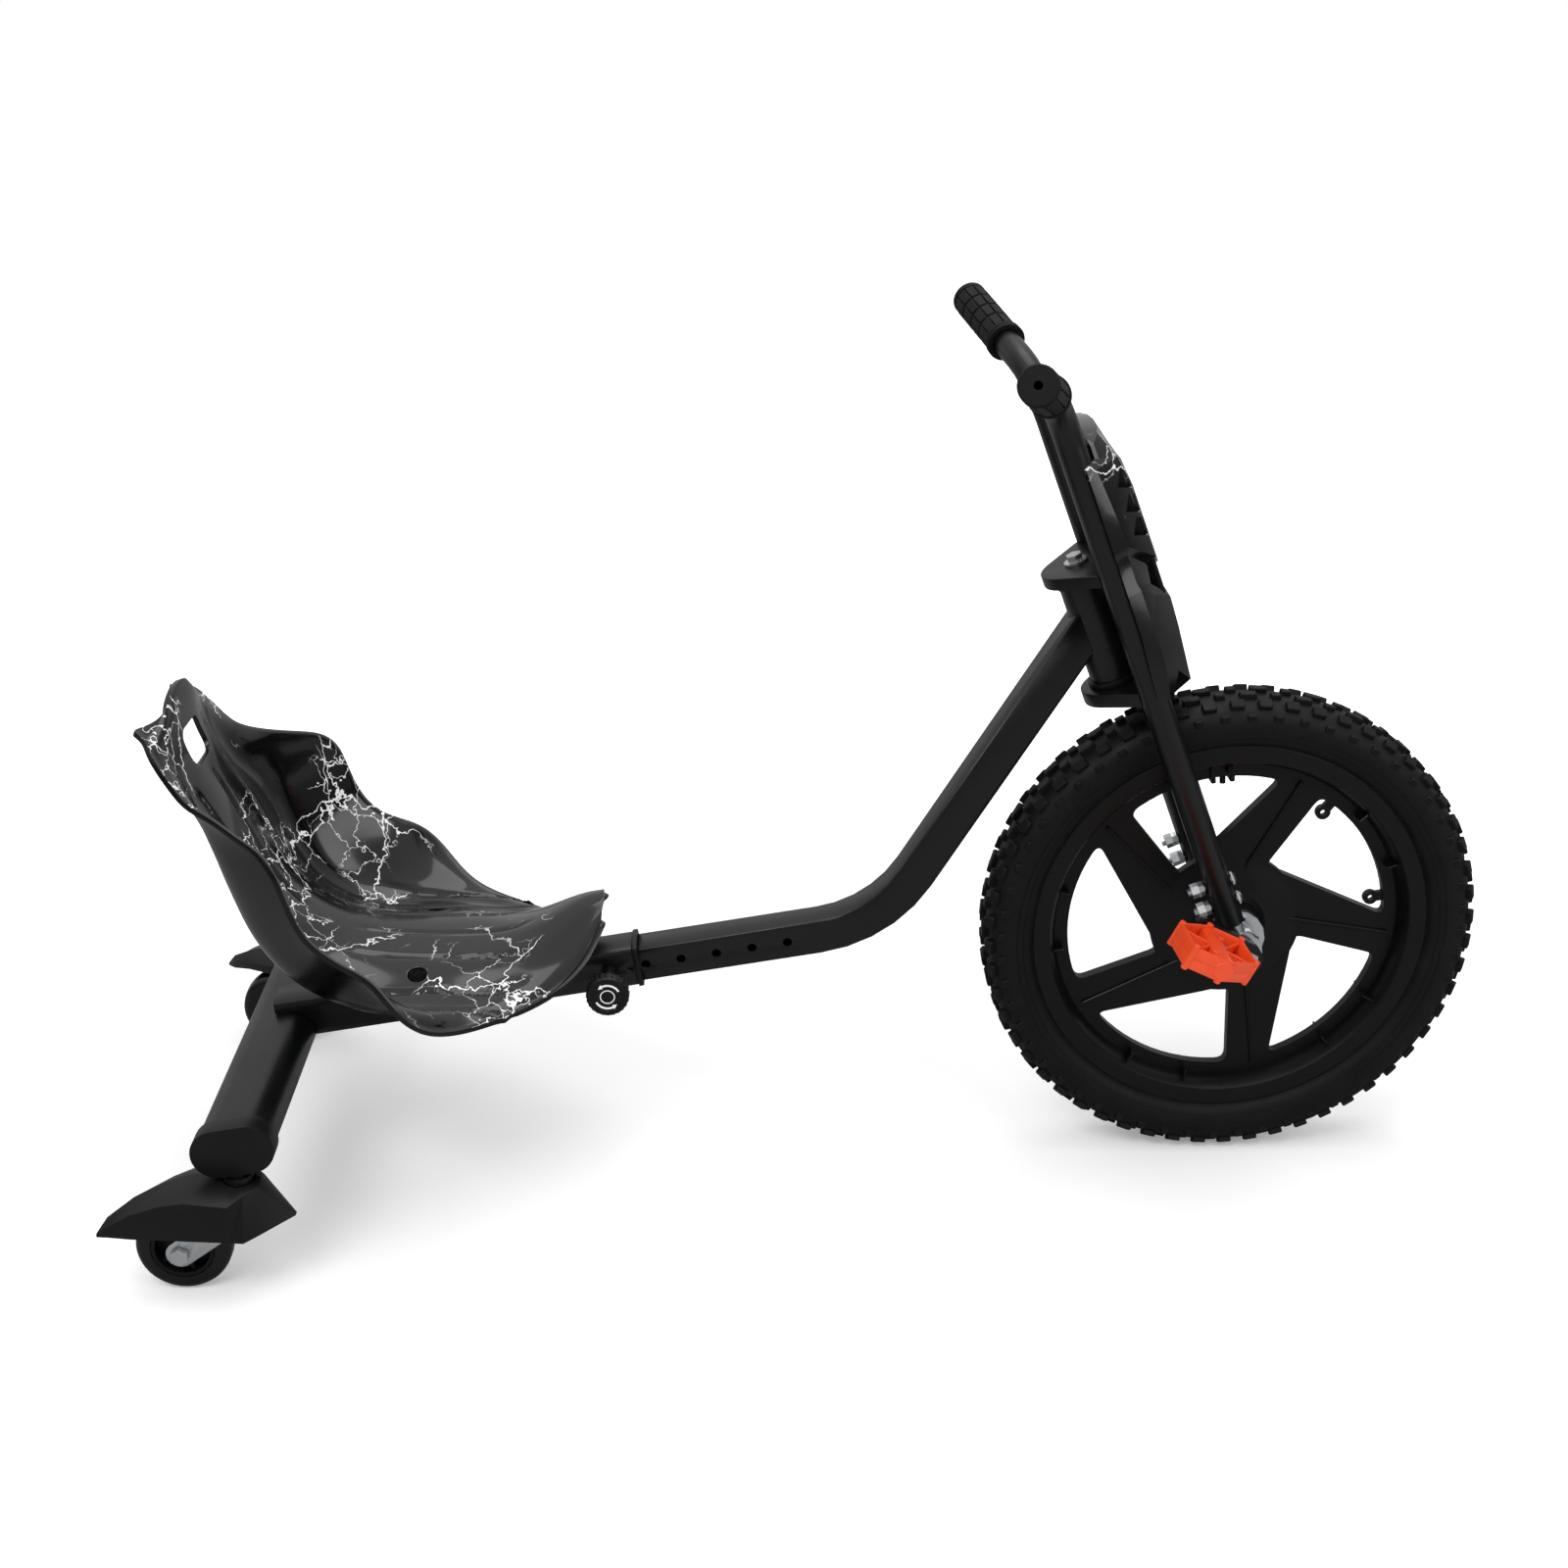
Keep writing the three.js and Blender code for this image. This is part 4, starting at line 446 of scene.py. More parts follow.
# Ribs along the middle of each spoke, from the hub to the channel, and the domed hub
spines = []
start, end = Vector(polar(30, 88)), Vector(polar(136, 68))
middle, run = (start + end) / 2, end - start
for side in (-1, 1):
    spines.append(block("spine", (run.length, 2.6, 2.4),
                        (AXLE_X + middle.x, side * 5.4, AXLE_Z + middle.y),
                        (0, -math.atan2(run.y, run.x), 0), 0.6, 1))
spine_set = joined(spines[0], spines[1:])
fittings += copies(spine_set, FIFTHS[1:])
fittings.append(spine_set)
hub = turned("hub", mirrored_profile([
    (6.4, 29.4), (23, 29.4), (25, 28.4), (26, 25), (27, 16), (31, 11), (40, 8.4),
    (52, 6.2), (58, 4.2), (62, 3.65)]), centre=WHEEL_CENTRE, smooth_deg=60)
rim = joined(rim, [web, rib_set, hub] + fittings + borders)
dress(rim, moulded_nylon)
settle(rim, 30)
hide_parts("rim")
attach(rim, "front_wheel")
cad_dress(tyre_rubber, "valve_stem")

# Axle, hub discs and cranks
# A zinc-plated steel axle and pressed steel hub discs that turn with it, and black steel crank arms
# fixed on its ends.

# Bright zinc plate: pale and mirror-like, broken up by a faint cloud and tiny pits
zinc_plate = new_finish("bright_zinc_plate", {
    "Base Color": linear("#c4c7ca"), "Metallic": 1.0, "Roughness": 0.26})
give_skin(zinc_plate, (14, 2.0), ("#c3c6c9", "#e2e4e6"), (0.24, 0.34), (0.9, 2.0), (0.03, 0.1))

# Satin black powder coat on steel: a fine orange peel about 1 mm across, slightly uneven gloss
powder_coat = new_finish("satin_black_powder_coat", {
    "Base Color": linear("#08090a"), "Roughness": 0.32, "IOR": 1.5, "Specular IOR Level": 0.36})
give_skin(powder_coat, (60, 4.0), ("#060708", "#0d0e0f"), (0.29, 0.38), (1.3, 2.0), (0.14, 0.2))


def refined(node, name, finish, body, bevel, segments=2, smooth_deg=30):
    """Stands for a CAD node with a welded copy of its solid whose edges are rounded off."""
    pick(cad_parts[node])
    bpy.ops.object.duplicate(linked=False)
    piece = bpy.context.object
    for word in [key for key in piece.keys() if key.startswith("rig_")]:
        del piece[word]
    piece.parent = None
    piece.name = name
    for place in piece.material_slots:
        place.link = "DATA"
    pick(piece)
    bpy.ops.object.mode_set(mode="EDIT")
    bpy.ops.mesh.select_all(action="SELECT")
    bpy.ops.mesh.remove_doubles(threshold=0.02 * MM)
    bpy.ops.mesh.dissolve_limited(angle_limit=math.radians(2))
    bpy.ops.object.mode_set(mode="OBJECT")
    bevelled(piece, bevel, 32, segments)
    dress(piece, finish)
    settle(piece, smooth_deg)
    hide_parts(node)
    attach(piece, body)


cad_dress(zinc_plate, "wheel_axle")
for word in ("right", "left"):
    refined(f"hub_disc_{word}", f"hub_disc_pressed_{word}", zinc_plate,
            "front_wheel", 0.4)
    refined(f"crank_{word}", f"crank_forged_{word}", powder_coat,
            "front_wheel", 1.2)

# Pedals
# Orange-red cage pedals, each moulded in one piece: a wall all round, a slab and a boss for the
# crank's pin, ribs and studs. Each turns on its pin.

# Moulded polypropylene: bright and slightly translucent, with a soft sheen, over a grain that is
# drawn coarser than life so that it shows
pedal_plastic = new_finish("orange_red_polypropylene", {
    "Base Color": linear("#e34515"), "Roughness": 0.38, "IOR": 1.49,
    "Subsurface Weight": 0.06, "Subsurface Radius": (0.004, 0.0016, 0.0008)})
give_skin(pedal_plastic, (14, 3.0), ("#dc3f12", "#ea4c1a"), None, (0.8, 2.0), (0.12, 0.2))


def pin(name, radius, half, chamfer, bevel, across=Vector(), sides=20, axis=(0, 0, 1), smooth=50):
    """A short round bar through a place in the plan, with its ends chamfered; sizes in mm."""
    waist = radius - chamfer
    return turned(name, [(0.01, -half), (waist, -half), (radius, bevel - half),
                         (radius, half - bevel), (waist, half), (0.01, half)],
                  sides, across * MM, axis, smooth)


# The cage in plan, as (forward, sideways) from the middle, for the right pedal
PEDAL_PLAN = [(-30.5, -33.3), (0.5, -32.5), (33.5, -7), (30.5, 33.3), (-0.5, 32.5), (-33.5, 7)]
PEDAL_RIBS = (((-7, 0), (-30, 6.5)), ((7, 0), (30, -6.5)),
              ((-7, -2.95), (-27.5, -29.5)), ((7, 2.95), (27.5, 29.5)))
PEDAL_PITCH = math.radians(26.6)
for word, side in (("right", 1), ("left", -1)):
    halves = []
    for low, high in ((-9, 0), (0, 9)):
        wall = side_slab("wall", PEDAL_PLAN, low, high, Vector())
        hollow = side_slab("hollow", [(x * 0.905, y * 0.905) for x, y in PEDAL_PLAN],
                           -12, 12, Vector())
        merge_doubles(wall)
        cut_away(wall, [hollow])
        halves.append(bevelled(wall, 0.45, 30))
    for wall in halves:
        wall.data.transform(Matrix.Rotation(math.radians(-90), 4, "X"))
    extras = [block("slab", (17, 60, 13.5), (0, 0, 0), bevel=1.2),
              pin("boss", 8.2, 33.2, 0.8, 0.8, sides=40, axis=(0, 1, 0), smooth=35)]
    extras += [pin("stud", 2.7, 11, 0.6, 0.7, Vector((x * 0.94, y * 0.94, 0)))
               for x, y in PEDAL_PLAN]
    for start, end in PEDAL_RIBS:
        run = Vector(end) - Vector(start)
        middle = (Vector(end) + Vector(start)) / 2
        extras.append(block("rib", (run.length, 2.2, 12.5), (middle.x, middle.y, 0),
                            (0, 0, math.atan2(run.y, run.x)), 0.5, 1))
    extras += [pin("stud", 2.8, 8, 0.4, 0.5, Vector((x, y, 0)))
               for x, y in ((7.5, 18), (-7.5, -18))]
    pedal = joined(halves[0], halves[1:] + extras)
    pedal.name = f"pedal_moulded_{word}"
    low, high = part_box(f"pedal_{word}")
    pedal.data.transform(Matrix.Translation((low + high) / 2) @ Matrix.Rotation(PEDAL_PITCH, 4, "Y")
                         @ Matrix.Scale(side, 4, (0, 1, 0)))
    if side < 0:
        pick(pedal)
        bpy.ops.object.mode_set(mode="EDIT")
        bpy.ops.mesh.select_all(action="SELECT")
        bpy.ops.mesh.flip_normals()
        bpy.ops.object.mode_set(mode="OBJECT")
    dress(pedal, pedal_plastic)
    settle(pedal, 35)
    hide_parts(f"pedal_{word}")
    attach(pedal, f"pedal_body_{word}")

# Fork, crowns and axle brackets
# Two steel legs that run up into the bars, held by two stamped crowns on the steerer.
# The brackets for the axle are zinc-plated, and bolted into the legs' lower ends.
refined("crown_lower", "crown_lower_stamped", powder_coat, "fork", 2.2, 3)
refined("crown_upper", "crown_upper_stamped", powder_coat, "fork", 4.5, 5)
cad_dress(powder_coat, "steerer_tube")
for word in ("right", "left"):
    refined(f"fork_leg_{word}", f"fork_leg_bent_{word}", powder_coat,
            "fork", 0.3, 1, 40)
    refined(f"axle_bracket_{word}", f"axle_bracket_plated_{word}", zinc_plate,
            "fork", 0.6)
    cad_dress(zinc_plate, f"leg_bolt_{word}_1", f"leg_bolt_{word}_2")
cad_dress(zinc_plate, "steerer_bolt")

# Grips
# Black rubber grips with four rings of raised pads and a flange at each end, pushed over the
# bars' ends.

# Moulded thermoplastic rubber: dull and slightly grey, over a grain that is drawn coarser than life
# so that it shows
grip_rubber = new_finish("moulded_grip_rubber", {
    "Base Color": linear("#070708"), "Roughness": 0.6, "IOR": 1.5, "Specular IOR Level": 0.2})
give_skin(grip_rubber, (20, 4.0), ("#060607", "#0c0d0e"), None, (1.0, 3.0), (0.25, 0.3))

# The steering frame: up along the steering axis, forward square to it, from a point near the axle
STEER_TILT = math.radians(21.2)
STEER_OFFSET = 20
STEER_FRAME = Matrix((
    (math.cos(STEER_TILT), 0, -math.sin(STEER_TILT),
     (AXLE_X - STEER_OFFSET * math.cos(STEER_TILT)) * MM),
    (0, 1, 0, 0),
    (math.sin(STEER_TILT), 0, math.cos(STEER_TILT),
     (AXLE_Z - STEER_OFFSET * math.sin(STEER_TILT)) * MM),
    (0, 0, 0, 1)))
BAR_RISE, BAR_SWEEP = math.radians(19.5), math.radians(8)
BAR_ELBOW = (20, 50, 471.6)
GRIP_START = 64
PAD_ROWS, PADS_ROUND = 4, 11
for word, side in (("right", -1), ("left", 1)):
    heading = Vector((-math.sin(BAR_SWEEP) * math.cos(BAR_RISE),
                      side * math.cos(BAR_SWEEP) * math.cos(BAR_RISE), math.sin(BAR_RISE)))
    start = Vector((BAR_ELBOW[0], side * BAR_ELBOW[1], BAR_ELBOW[2])) + heading * GRIP_START
    along_bar = heading.to_track_quat("Z", "X").to_matrix().to_4x4()
    grip = turned(f"grip_moulded_{word}", [
        (11.5, 0), (15.2, 0), (15.6, 0.5), (15.6, 2.4), (14.6, 3.0), (14.6, 3.8), (15.5, 4.4),
        (15.5, 6.4), (14.9, 7.0), (12.9, 7.2), (12.9, 80.6), (14.0, 80.8), (14.2, 81.4),
        (14.2, 82.8), (13.6, 83.2), (13.6, 83.8), (14.2, 84.2), (14.2, 85.6), (13.2, 87),
        (3.4, 87), (3, 86.6), (3, 82.3), (11.5, 82.3)], 64, axis=(0, 0, 1), smooth_deg=40)
    pad = block("pad", (2.2, 6.6, 16.2), (13.1, 0, 0), bevel=0.5, segments=1)
    pads = []
    for row in range(PAD_ROWS):
        lift = Matrix.Translation(Vector((0, 0, 16.6 + 18.2 * row)) * MM)
        pads += copies(pad, [lift @ Matrix.Rotation(2 * math.pi * k / PADS_ROUND, 4, "Z")
                             for k in range(PADS_ROUND)])
    bpy.data.objects.remove(pad)
    grip = joined(grip, pads)
    grip.data.transform(STEER_FRAME @ Matrix.Translation(start * MM) @ along_bar)
    dress(grip, grip_rubber)
    settle(grip, 40)
    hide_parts(f"grip_{word}")
    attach(grip, "fork")

# Shroud
# A glossy black ABS shell that two straps hold in front of the legs, with crackle film on its
# upper part and a matt panel behind its notch.

# Glossy ABS under film: near-mirror black with patches of fine white cracks, like lightning
crackle = new_finish("gloss_black_abs_with_crackle", {
    "Base Color": linear("#050506"), "Roughness": 0.14, "IOR": 1.5, "Specular IOR Level": 0.42,
    "Coat Weight": 0.2, "Coat Roughness": 0.05})
place = add_node(crackle, "ShaderNodeTexCoord")
shifted = add_node(crackle, "ShaderNodeMapping", {
    "Vector": place.outputs["Object"], "Location": (0.062, 0.031, 0.047)})
wander = add_node(crackle, "ShaderNodeTexNoise", {
    "Vector": shifted.outputs["Vector"], "Scale": per_mm(42), "Detail": 4.0, "Roughness": 0.62})
off_centre = add_node(crackle, "ShaderNodeVectorMath", {
    0: wander.outputs["Color"], 1: (0.5, 0.5, 0.5)}, operation="SUBTRACT")
amount = add_node(crackle, "ShaderNodeVectorMath", {
    0: off_centre.outputs[0], "Scale": 0.06}, operation="SCALE")
bent = add_node(crackle, "ShaderNodeVectorMath", {
    0: shifted.outputs["Vector"], 1: amount.outputs[0]}, operation="ADD")
lines = []
for size, thin, thick in ((78, 0.005, 0.012), (30, 0.006, 0.017)):
    cells = add_node(crackle, "ShaderNodeTexVoronoi", {
        "Vector": bent.outputs[0], "Scale": per_mm(size), "Randomness": 1.0},
        feature="DISTANCE_TO_EDGE")
    lines.append(add_node(crackle, "ShaderNodeMapRange", {
        "Value": cells.outputs["Distance"], "From Min": thin, "From Max": thick,
        "To Min": 1.0, "To Max": 0.0}))
patches = add_node(crackle, "ShaderNodeTexNoise", {
    "Vector": shifted.outputs["Vector"], "Scale": per_mm(105), "Detail": 2.0})
zones = []
for low, high in ((0.50, 0.56), (0.55, 0.62)):
    zones.append(add_node(crackle, "ShaderNodeMapRange", {
        "Value": patches.outputs["Fac"], "From Min": low, "From Max": high,
        "To Min": 0.0, "To Max": 1.0}))
cracks = [add_node(crackle, "ShaderNodeMath", {
    0: line.outputs["Result"], 1: zone.outputs["Result"]}, operation="MULTIPLY")
    for line, zone in zip(lines, zones)]
print_mask = add_node(crackle, "ShaderNodeMath", {
    0: cracks[0].outputs[0], 1: cracks[1].outputs[0]}, operation="MAXIMUM")
tint = add_node(crackle, "ShaderNodeMix", {
    "Factor": print_mask.outputs[0], "A": linear("#050506"), "B": linear("#f4f5f6")},
    data_type="RGBA")
link(crackle, tint.outputs["Result"], "Base Color")
orange_peel = add_node(crackle, "ShaderNodeTexNoise", {
    "Vector": shifted.outputs["Vector"], "Scale": per_mm(7), "Detail": 1.0})
bump = add_node(crackle, "ShaderNodeBump", {
    "Height": orange_peel.outputs["Fac"], "Strength": 0.03, "Distance": 0.6 * MM})
link(crackle, bump.outputs["Normal"], "Normal")

# The same ABS without the film: a mirror-like moulded skin, a little duller in clouds
gloss_abs = new_finish("gloss_black_abs", {
    "Base Color": linear("#050506"), "Roughness": 0.2, "IOR": 1.5, "Specular IOR Level": 0.4})
give_skin(gloss_abs, (50, 4.0), None, (0.16, 0.28), (6, 1.0), (0.04, 0.6))

# Fine-textured matt black ABS: a spark-eroded grain with a dull sheen, drawn coarser than life so
# that it shows
textured_abs = new_finish("textured_black_abs", {
    "Base Color": linear("#090a0b"), "Roughness": 0.42, "IOR": 1.53, "Specular IOR Level": 0.24})
give_skin(textured_abs, (40, 4.0), ("#070708", "#0d0e10"), None, (0.9, 3.0), (0.22, 0.2))

# Each row is one station from the top down, as (forward, sideways, up) in the steering frame's mm:
# rear edge, crease, corner, front corner and middle. The notch is left open below the seventh row
SHROUD_ROWS = [
    [(32.5, 50, 436), (33, 46, 438), (33, 36, 440), (33, 20, 441.5), (33, 0, 442)],
    [(33, 51, 433), (36, 49.5, 434), (42, 38, 437), (45, 20, 438.5), (46, 0, 439)],
    [(33, 52, 424), (36, 51, 422), (49.5, 40.5, 417.5), (53, 22, 411), (54, 0, 408)],
    [(23.5, 63.4, 422), (31, 60.5, 418), (50.5, 41, 415.5), (54.2, 22, 409), (55.2, 0, 406)],
    [(23.5, 63.4, 385), (33.5, 60, 386), (53.4, 40.5, 388), (56.6, 22, 386), (57.8, 0, 384)],
    [(23.5, 63.4, 352), (36, 60, 353.5), (54.6, 40, 333), (57.2, 22, 323), (58.2, 0, 317)],
    [(23.5, 62.6, 347), (33, 58.5, 348), (46.5, 38.5, 329), (49.6, 22, 320), (50.6, 0, 315)],
    [(23.5, 62.8, 325), (33, 58.8, 325), (44, 46, 316), (52.6, 33, 303), (54.6, 0, 299)],
    [(23.5, 63.4, 318), (34.4, 60, 318), (45, 46.5, 307), (56.4, 33.5, 296.5), (58.4, 0, 292)],
    [(23.5, 63.4, 285), (34.4, 60, 286), (45, 46.5, 280), (55.4, 33.5, 272), (58, 0, 268)],
    [(21, 63.4, 251), (34.4, 60, 256), (43.6, 46.5, 243), (51.8, 33.5, 227.5), (55.6, 0, 220.5)],
    [(20, 62, 232), (30, 57.5, 227), (33.5, 44, 220.5), (36.5, 30, 219.5), (38, 0, 219.2)],
]
points = []
for row in SHROUD_ROWS:
    points += [(x, -y, z) for x, y, z in row] + [(x, y, z) for x, y, z in reversed(row[:-1])]
SHROUD_COLUMNS = 9
NOTCH_ROW, NOTCH_COLUMNS = 6, range(2, 6)
walls = []
for row in range(len(SHROUD_ROWS) - 1):
    for column in range(SHROUD_COLUMNS - 1):
        if row == NOTCH_ROW and column in NOTCH_COLUMNS:
            continue
        first = row * SHROUD_COLUMNS + column
        below = first + SHROUD_COLUMNS
        walls.append((first, below, below + 1, first + 1))
mesh = bpy.data.meshes.new("shroud_moulded")
mesh.from_pydata([Vector(p) * MM for p in points], [], walls)
shroud = bpy.data.objects.new("shroud_moulded", mesh)
bpy.context.scene.collection.objects.link(shroud)
pick(shroud)
change = shroud.modifiers.new("wall", "SOLIDIFY")
change.thickness = 2.3 * MM
change.offset = -1
change.use_even_offset = True
bpy.ops.object.modifier_apply(modifier=change.name)

# Three slanted slots in each side, with a dark matt strip behind them that is painted shade: it
# stands for the shadow inside the shell
SLOT_LEAN = math.radians(32)
slots = [block("slot", (16, 24, 12.5), (52.6, side * 44, height), (0, SLOT_LEAN, 0))
         for side in (-1, 1) for height in (397.5, 378, 359)]
cut_away(shroud, slots)
bevelled(shroud, 0.9, 16)
# Painted shade: a dark matt sheet behind each row of slots, where the inside of the shell would
# only be in shadow
slot_shade = [block("slot_shade", (12, 1.6, 66), (45.5, side * 35.6, 377), (0, math.radians(-2), 0))
           for side in (-1, 1)]
FILM_FOOT = 318
dress(shroud, crackle)
shroud.data.materials.append(gloss_abs)
for face in shroud.data.polygons:
    face.material_index = 1 if face.center.z < FILM_FOOT * MM else 0
for strip in slot_shade:
    dress(strip, textured_abs)
shroud = joined(shroud, slot_shade)
shroud.data.transform(STEER_FRAME)
settle(shroud, 14)
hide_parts("shroud_shell")
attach(shroud, "fork")
cad_dress(textured_abs, "shroud_panel", "shroud_strap_lower", "shroud_strap_upper")

# Head tube and main tube
# A round steel head tube with two pressed cups, welded to a bent square steel tube that has a row
# of holes for the pull pin.
refined("main_tube", "main_tube_bent", powder_coat, "front_frame", 0.5, 1, 40)
for node in ("headset_cup_lower", "headset_cup_upper"):
    refined(node, f"{node}_pressed", textured_abs, "front_frame", 0.6)
refined("head_tube", "head_tube_welded", powder_coat, "front_frame", 0.5, 1, 40)

# Receiver, pull pin and knob
# The square tube that the main tube slides in, with a plastic collar at its mouth, a sprung
# pin across it, and a round knob that is loosened and pulled.
refined("receiver_tube", "receiver_welded", powder_coat, "rear_frame", 0.6)
refined("receiver_collar", "receiver_collar_moulded", textured_abs,
        "rear_frame", 0.5)
cad_dress(powder_coat, "pin_housing")
cad_dress(zinc_plate, "pin_spring", "index_pin")
low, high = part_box("adjust_knob")
knob_centre = Vector(((low.x + high.x) / 2, low.y, (low.z + high.z) / 2))
knob = turned("knob_moulded", [
    (0.01, 1.0), (12.2, 1.0), (12.6, 0.4), (14.2, 0.0), (15.8, 0.4), (16.8, 1.6), (17, 3.2),
    (17, 8.6), (16.4, 10.2), (15, 11), (8.2, 11), (8, 11.6), (8, 13.9), (0.01, 13.9)],
    72, knob_centre, smooth_deg=40)
FLUTES = 24
flutes = []
for k in range(FLUTES):
    x, z = polar(16.5, 360 * k / FLUTES)
    flutes.append(turned("flute", [(0.01, 2.2), (1.0, 2.2), (1.0, 10), (0.01, 10)], 8,
                         knob_centre + Vector((x, 0, z)) * MM))
knob = joined(knob, flutes)
dress(knob, textured_abs)

# Pad-printed white ink: an even matt film with a faint mottle, only 0.1 mm thick
white_ink = new_finish("pad_printed_white_ink", {
    "Base Color": linear("#e9eaeb"), "Roughness": 0.55, "IOR": 1.45})
give_skin(white_ink, (2, 3.0), ("#dcdddf", "#f4f4f4"))


def arrow_outline(start, end, inner, outer):
    """A curved arrow in the side view, in mm from the middle: an arc with a head at its end."""
    steps = [start + (end - start) * k / 12 for k in range(13)]
    head = [polar(outer + 1.2, end), polar((inner + outer) / 2, end + 22), polar(inner - 1.2, end)]
    return [polar(outer, a) for a in steps] + head + [polar(inner, a) for a in reversed(steps)]


# Two arrows round a ring, each sunk a little in the knob's face
INK_FRONT, INK_BACK = 0.86, 1.2
marks = [side_slab("mark", arrow_outline(start, start + 88, 9.3, 10.9),
                   INK_FRONT, INK_BACK, knob_centre) for start in (28, 208)]
marks.append(turned("mark", [(5.2, INK_FRONT), (6.0, INK_FRONT), (6.0, INK_BACK), (5.2, INK_BACK)],
                    48, knob_centre))
for mark in marks:
    dress(mark, white_ink)
knob = joined(knob, marks)
settle(knob, 35)
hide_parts("adjust_knob")
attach(knob, "knob")

# Rear beam
# A flat-sided oval steel tube across the back, with a push-on plastic cap over each end,
# and a turned socket for each caster.
refined("rear_beam", "rear_beam_welded", powder_coat, "rear_frame", 0.3, 1, 40)
for word in ("right", "left"):
    refined(f"beam_cap_{word}", f"beam_cap_moulded_{word}", textured_abs,
            "rear_frame", 2.0, 3)
    cad_dress(powder_coat, f"caster_mount_{word}")
refined("seat_bracket", "seat_bracket_bent", powder_coat, "rear_frame", 0.8)
cad_dress(zinc_plate, "seat_bolt_right", "seat_bolt_left")

# Casters
# Zinc-plated forks that swivel under the beam, each with a moulded fender and a black
# polyurethane wheel on a nylon core.

# Cast polyurethane: a deep, slightly wet black whose shine comes and goes
caster_tread = new_finish("cast_black_polyurethane", {
    "Base Color": linear("#060606"), "Roughness": 0.2, "IOR": 1.5, "Specular IOR Level": 0.4})
give_skin(caster_tread, (12, 4.0), None, (0.16, 0.32))
CASTER_HUB = (AXLE_X - 825, 190, 36)
for word, side in (("right", -1), ("left", 1)):
    refined(f"caster_fender_{word}", f"caster_fender_moulded_{word}", textured_abs,
            f"caster_{word}", 1.6, 3)
    refined(f"caster_fork_{word}", f"caster_fork_pressed_{word}", zinc_plate,
            f"caster_{word}", 0.6)
    cad_dress(zinc_plate, f"caster_axle_{word}")
    refined(f"caster_core_{word}", f"caster_core_moulded_{word}", moulded_nylon,
            f"caster_wheel_{word}", 0.4, 1)
    hub = Vector((CASTER_HUB[0], side * CASTER_HUB[1], CASTER_HUB[2])) * MM
    tread = turned(f"caster_tread_cast_{word}", mirrored_profile([
        (24.3, 11), (30, 11), (32.4, 10.4), (34.4, 8.9), (35.6, 6.6), (36, 4)]), 72, hub)
    dress(tread, caster_tread)
    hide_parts(f"caster_tyre_{word}")
    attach(tread, f"caster_wheel_{word}")

# Seat
# A one-piece bucket shell with a flat lip, moulded in glossy black ABS with the crackle film on its
# inner side, and bolted to the bracket through two bosses in its pan. Grooves stiffen it.
SEAT_WALL = 4.0
SEAT_LIP = 5.0
CHANNEL_END = 0.92
# Each row, in mm: middle x (from the axle) and z, rim x and z, half width, power of the curve,
# and depth of the side channel. SEAT_ARCH is the first row's power for its fall in height
SEAT_ROWS = [
    (-837, 418.5, -857.5, 399, 50, 10, 0), (-832, 399, -845, 395, 62, 6, 0),
    (-828, 375, -839.4, 385.3, 74, 2.5, 2), (-819, 356, -822.6, 360, 80, 3.0, 6),
    (-812.5, 341, -813.6, 350.8, 85, 3.5, 8), (-805, 326, -795, 344, 92, 4, 9),
    (-799.5, 314, -774, 335.7, 110, 4, 10), (-795, 303.5, -754.3, 329.6, 123, 4, 11),
    (-790, 292, -742.2, 314.4, 132, 4, 12), (-781, 271, -735.7, 289.6, 132, 4, 14),
    (-770, 248, -726.1, 264, 134, 4, 17), (-750, 224, -709.7, 249, 135, 4, 23),
    (-722, 209, -697, 242.9, 139.5, 4.5, 27), (-690, 202.6, -676, 233.4, 143, 5, 27),
    (-651, 201, -660, 210.5, 150, 5, 20), (-628, 200.5, -642, 187, 141, 3.5, 14),
    (-603, 201, -618, 179, 124, 2.6, 11), (-583, 206, -590, 178.5, 104, 2.2, 8),
    (-563, 214, -567, 178.7, 84, 2.2, 5), (-545, 225, -545, 183, 64, 2.2, 2),
    (-526, 233, -525, 200, 46, 2.2, 0), (-512, 236, -513, 222, 24, 2.2, 0)]
SEAT_ARCH = 2.2
SEAT_SHARES = [math.sin(math.radians(90 * k / 8)) for k in range(-8, 9)]


def seat_points(row):
    """The points of one row of the sitting face, from the right lip to the left one, in mm."""
    mid_x, mid_z, rim_x, rim_z, half, power, channel = SEAT_ROWS[row]
    after = SEAT_ROWS[min(row + 1, len(SEAT_ROWS) - 1)]
    before = SEAT_ROWS[max(row - 1, 0)]
    outward = Vector((after[1] - before[1], 0, before[0] - after[0])).normalized()
    points = []
    for share in SEAT_SHARES:
        bend = abs(share) ** power
        fall = abs(share) ** (SEAT_ARCH if row == 0 else power)
        dip = math.sin(math.pi * min(1, abs(share) / CHANNEL_END) ** 2) ** 2 * channel
        point = Vector((mid_x + (rim_x - mid_x) * bend, share * half,
                        mid_z + (rim_z - mid_z) * fall))
        points.append(point + outward * dip + Vector((AXLE_X, 0, 0)))
    lip = points[-1] + Vector((0, SEAT_LIP, 0))
    return [Vector((lip.x, -lip.y, lip.z))] + points + [lip]


deselect_all()
SEAT_COLUMNS = len(SEAT_SHARES) + 2
bpy.ops.mesh.primitive_grid_add(
    x_subdivisions=SEAT_COLUMNS - 1, y_subdivisions=len(SEAT_ROWS) - 1, size=2)
seat = bpy.context.object
seat.name = "seat_moulded"
ordered = sorted(seat.data.vertices, key=lambda v: (round(v.co.y, 4), round(v.co.x, 4)))
for row in range(len(SEAT_ROWS)):
    for column, place in enumerate(seat_points(row)):
        ordered[row * SEAT_COLUMNS + column].co = place * MM
change = seat.modifiers.new("smooth", "SUBSURF")
change.levels = change.render_levels = 3
change.boundary_smooth = "PRESERVE_CORNERS"
pick(seat)
bpy.ops.object.modifier_apply(modifier=change.name)


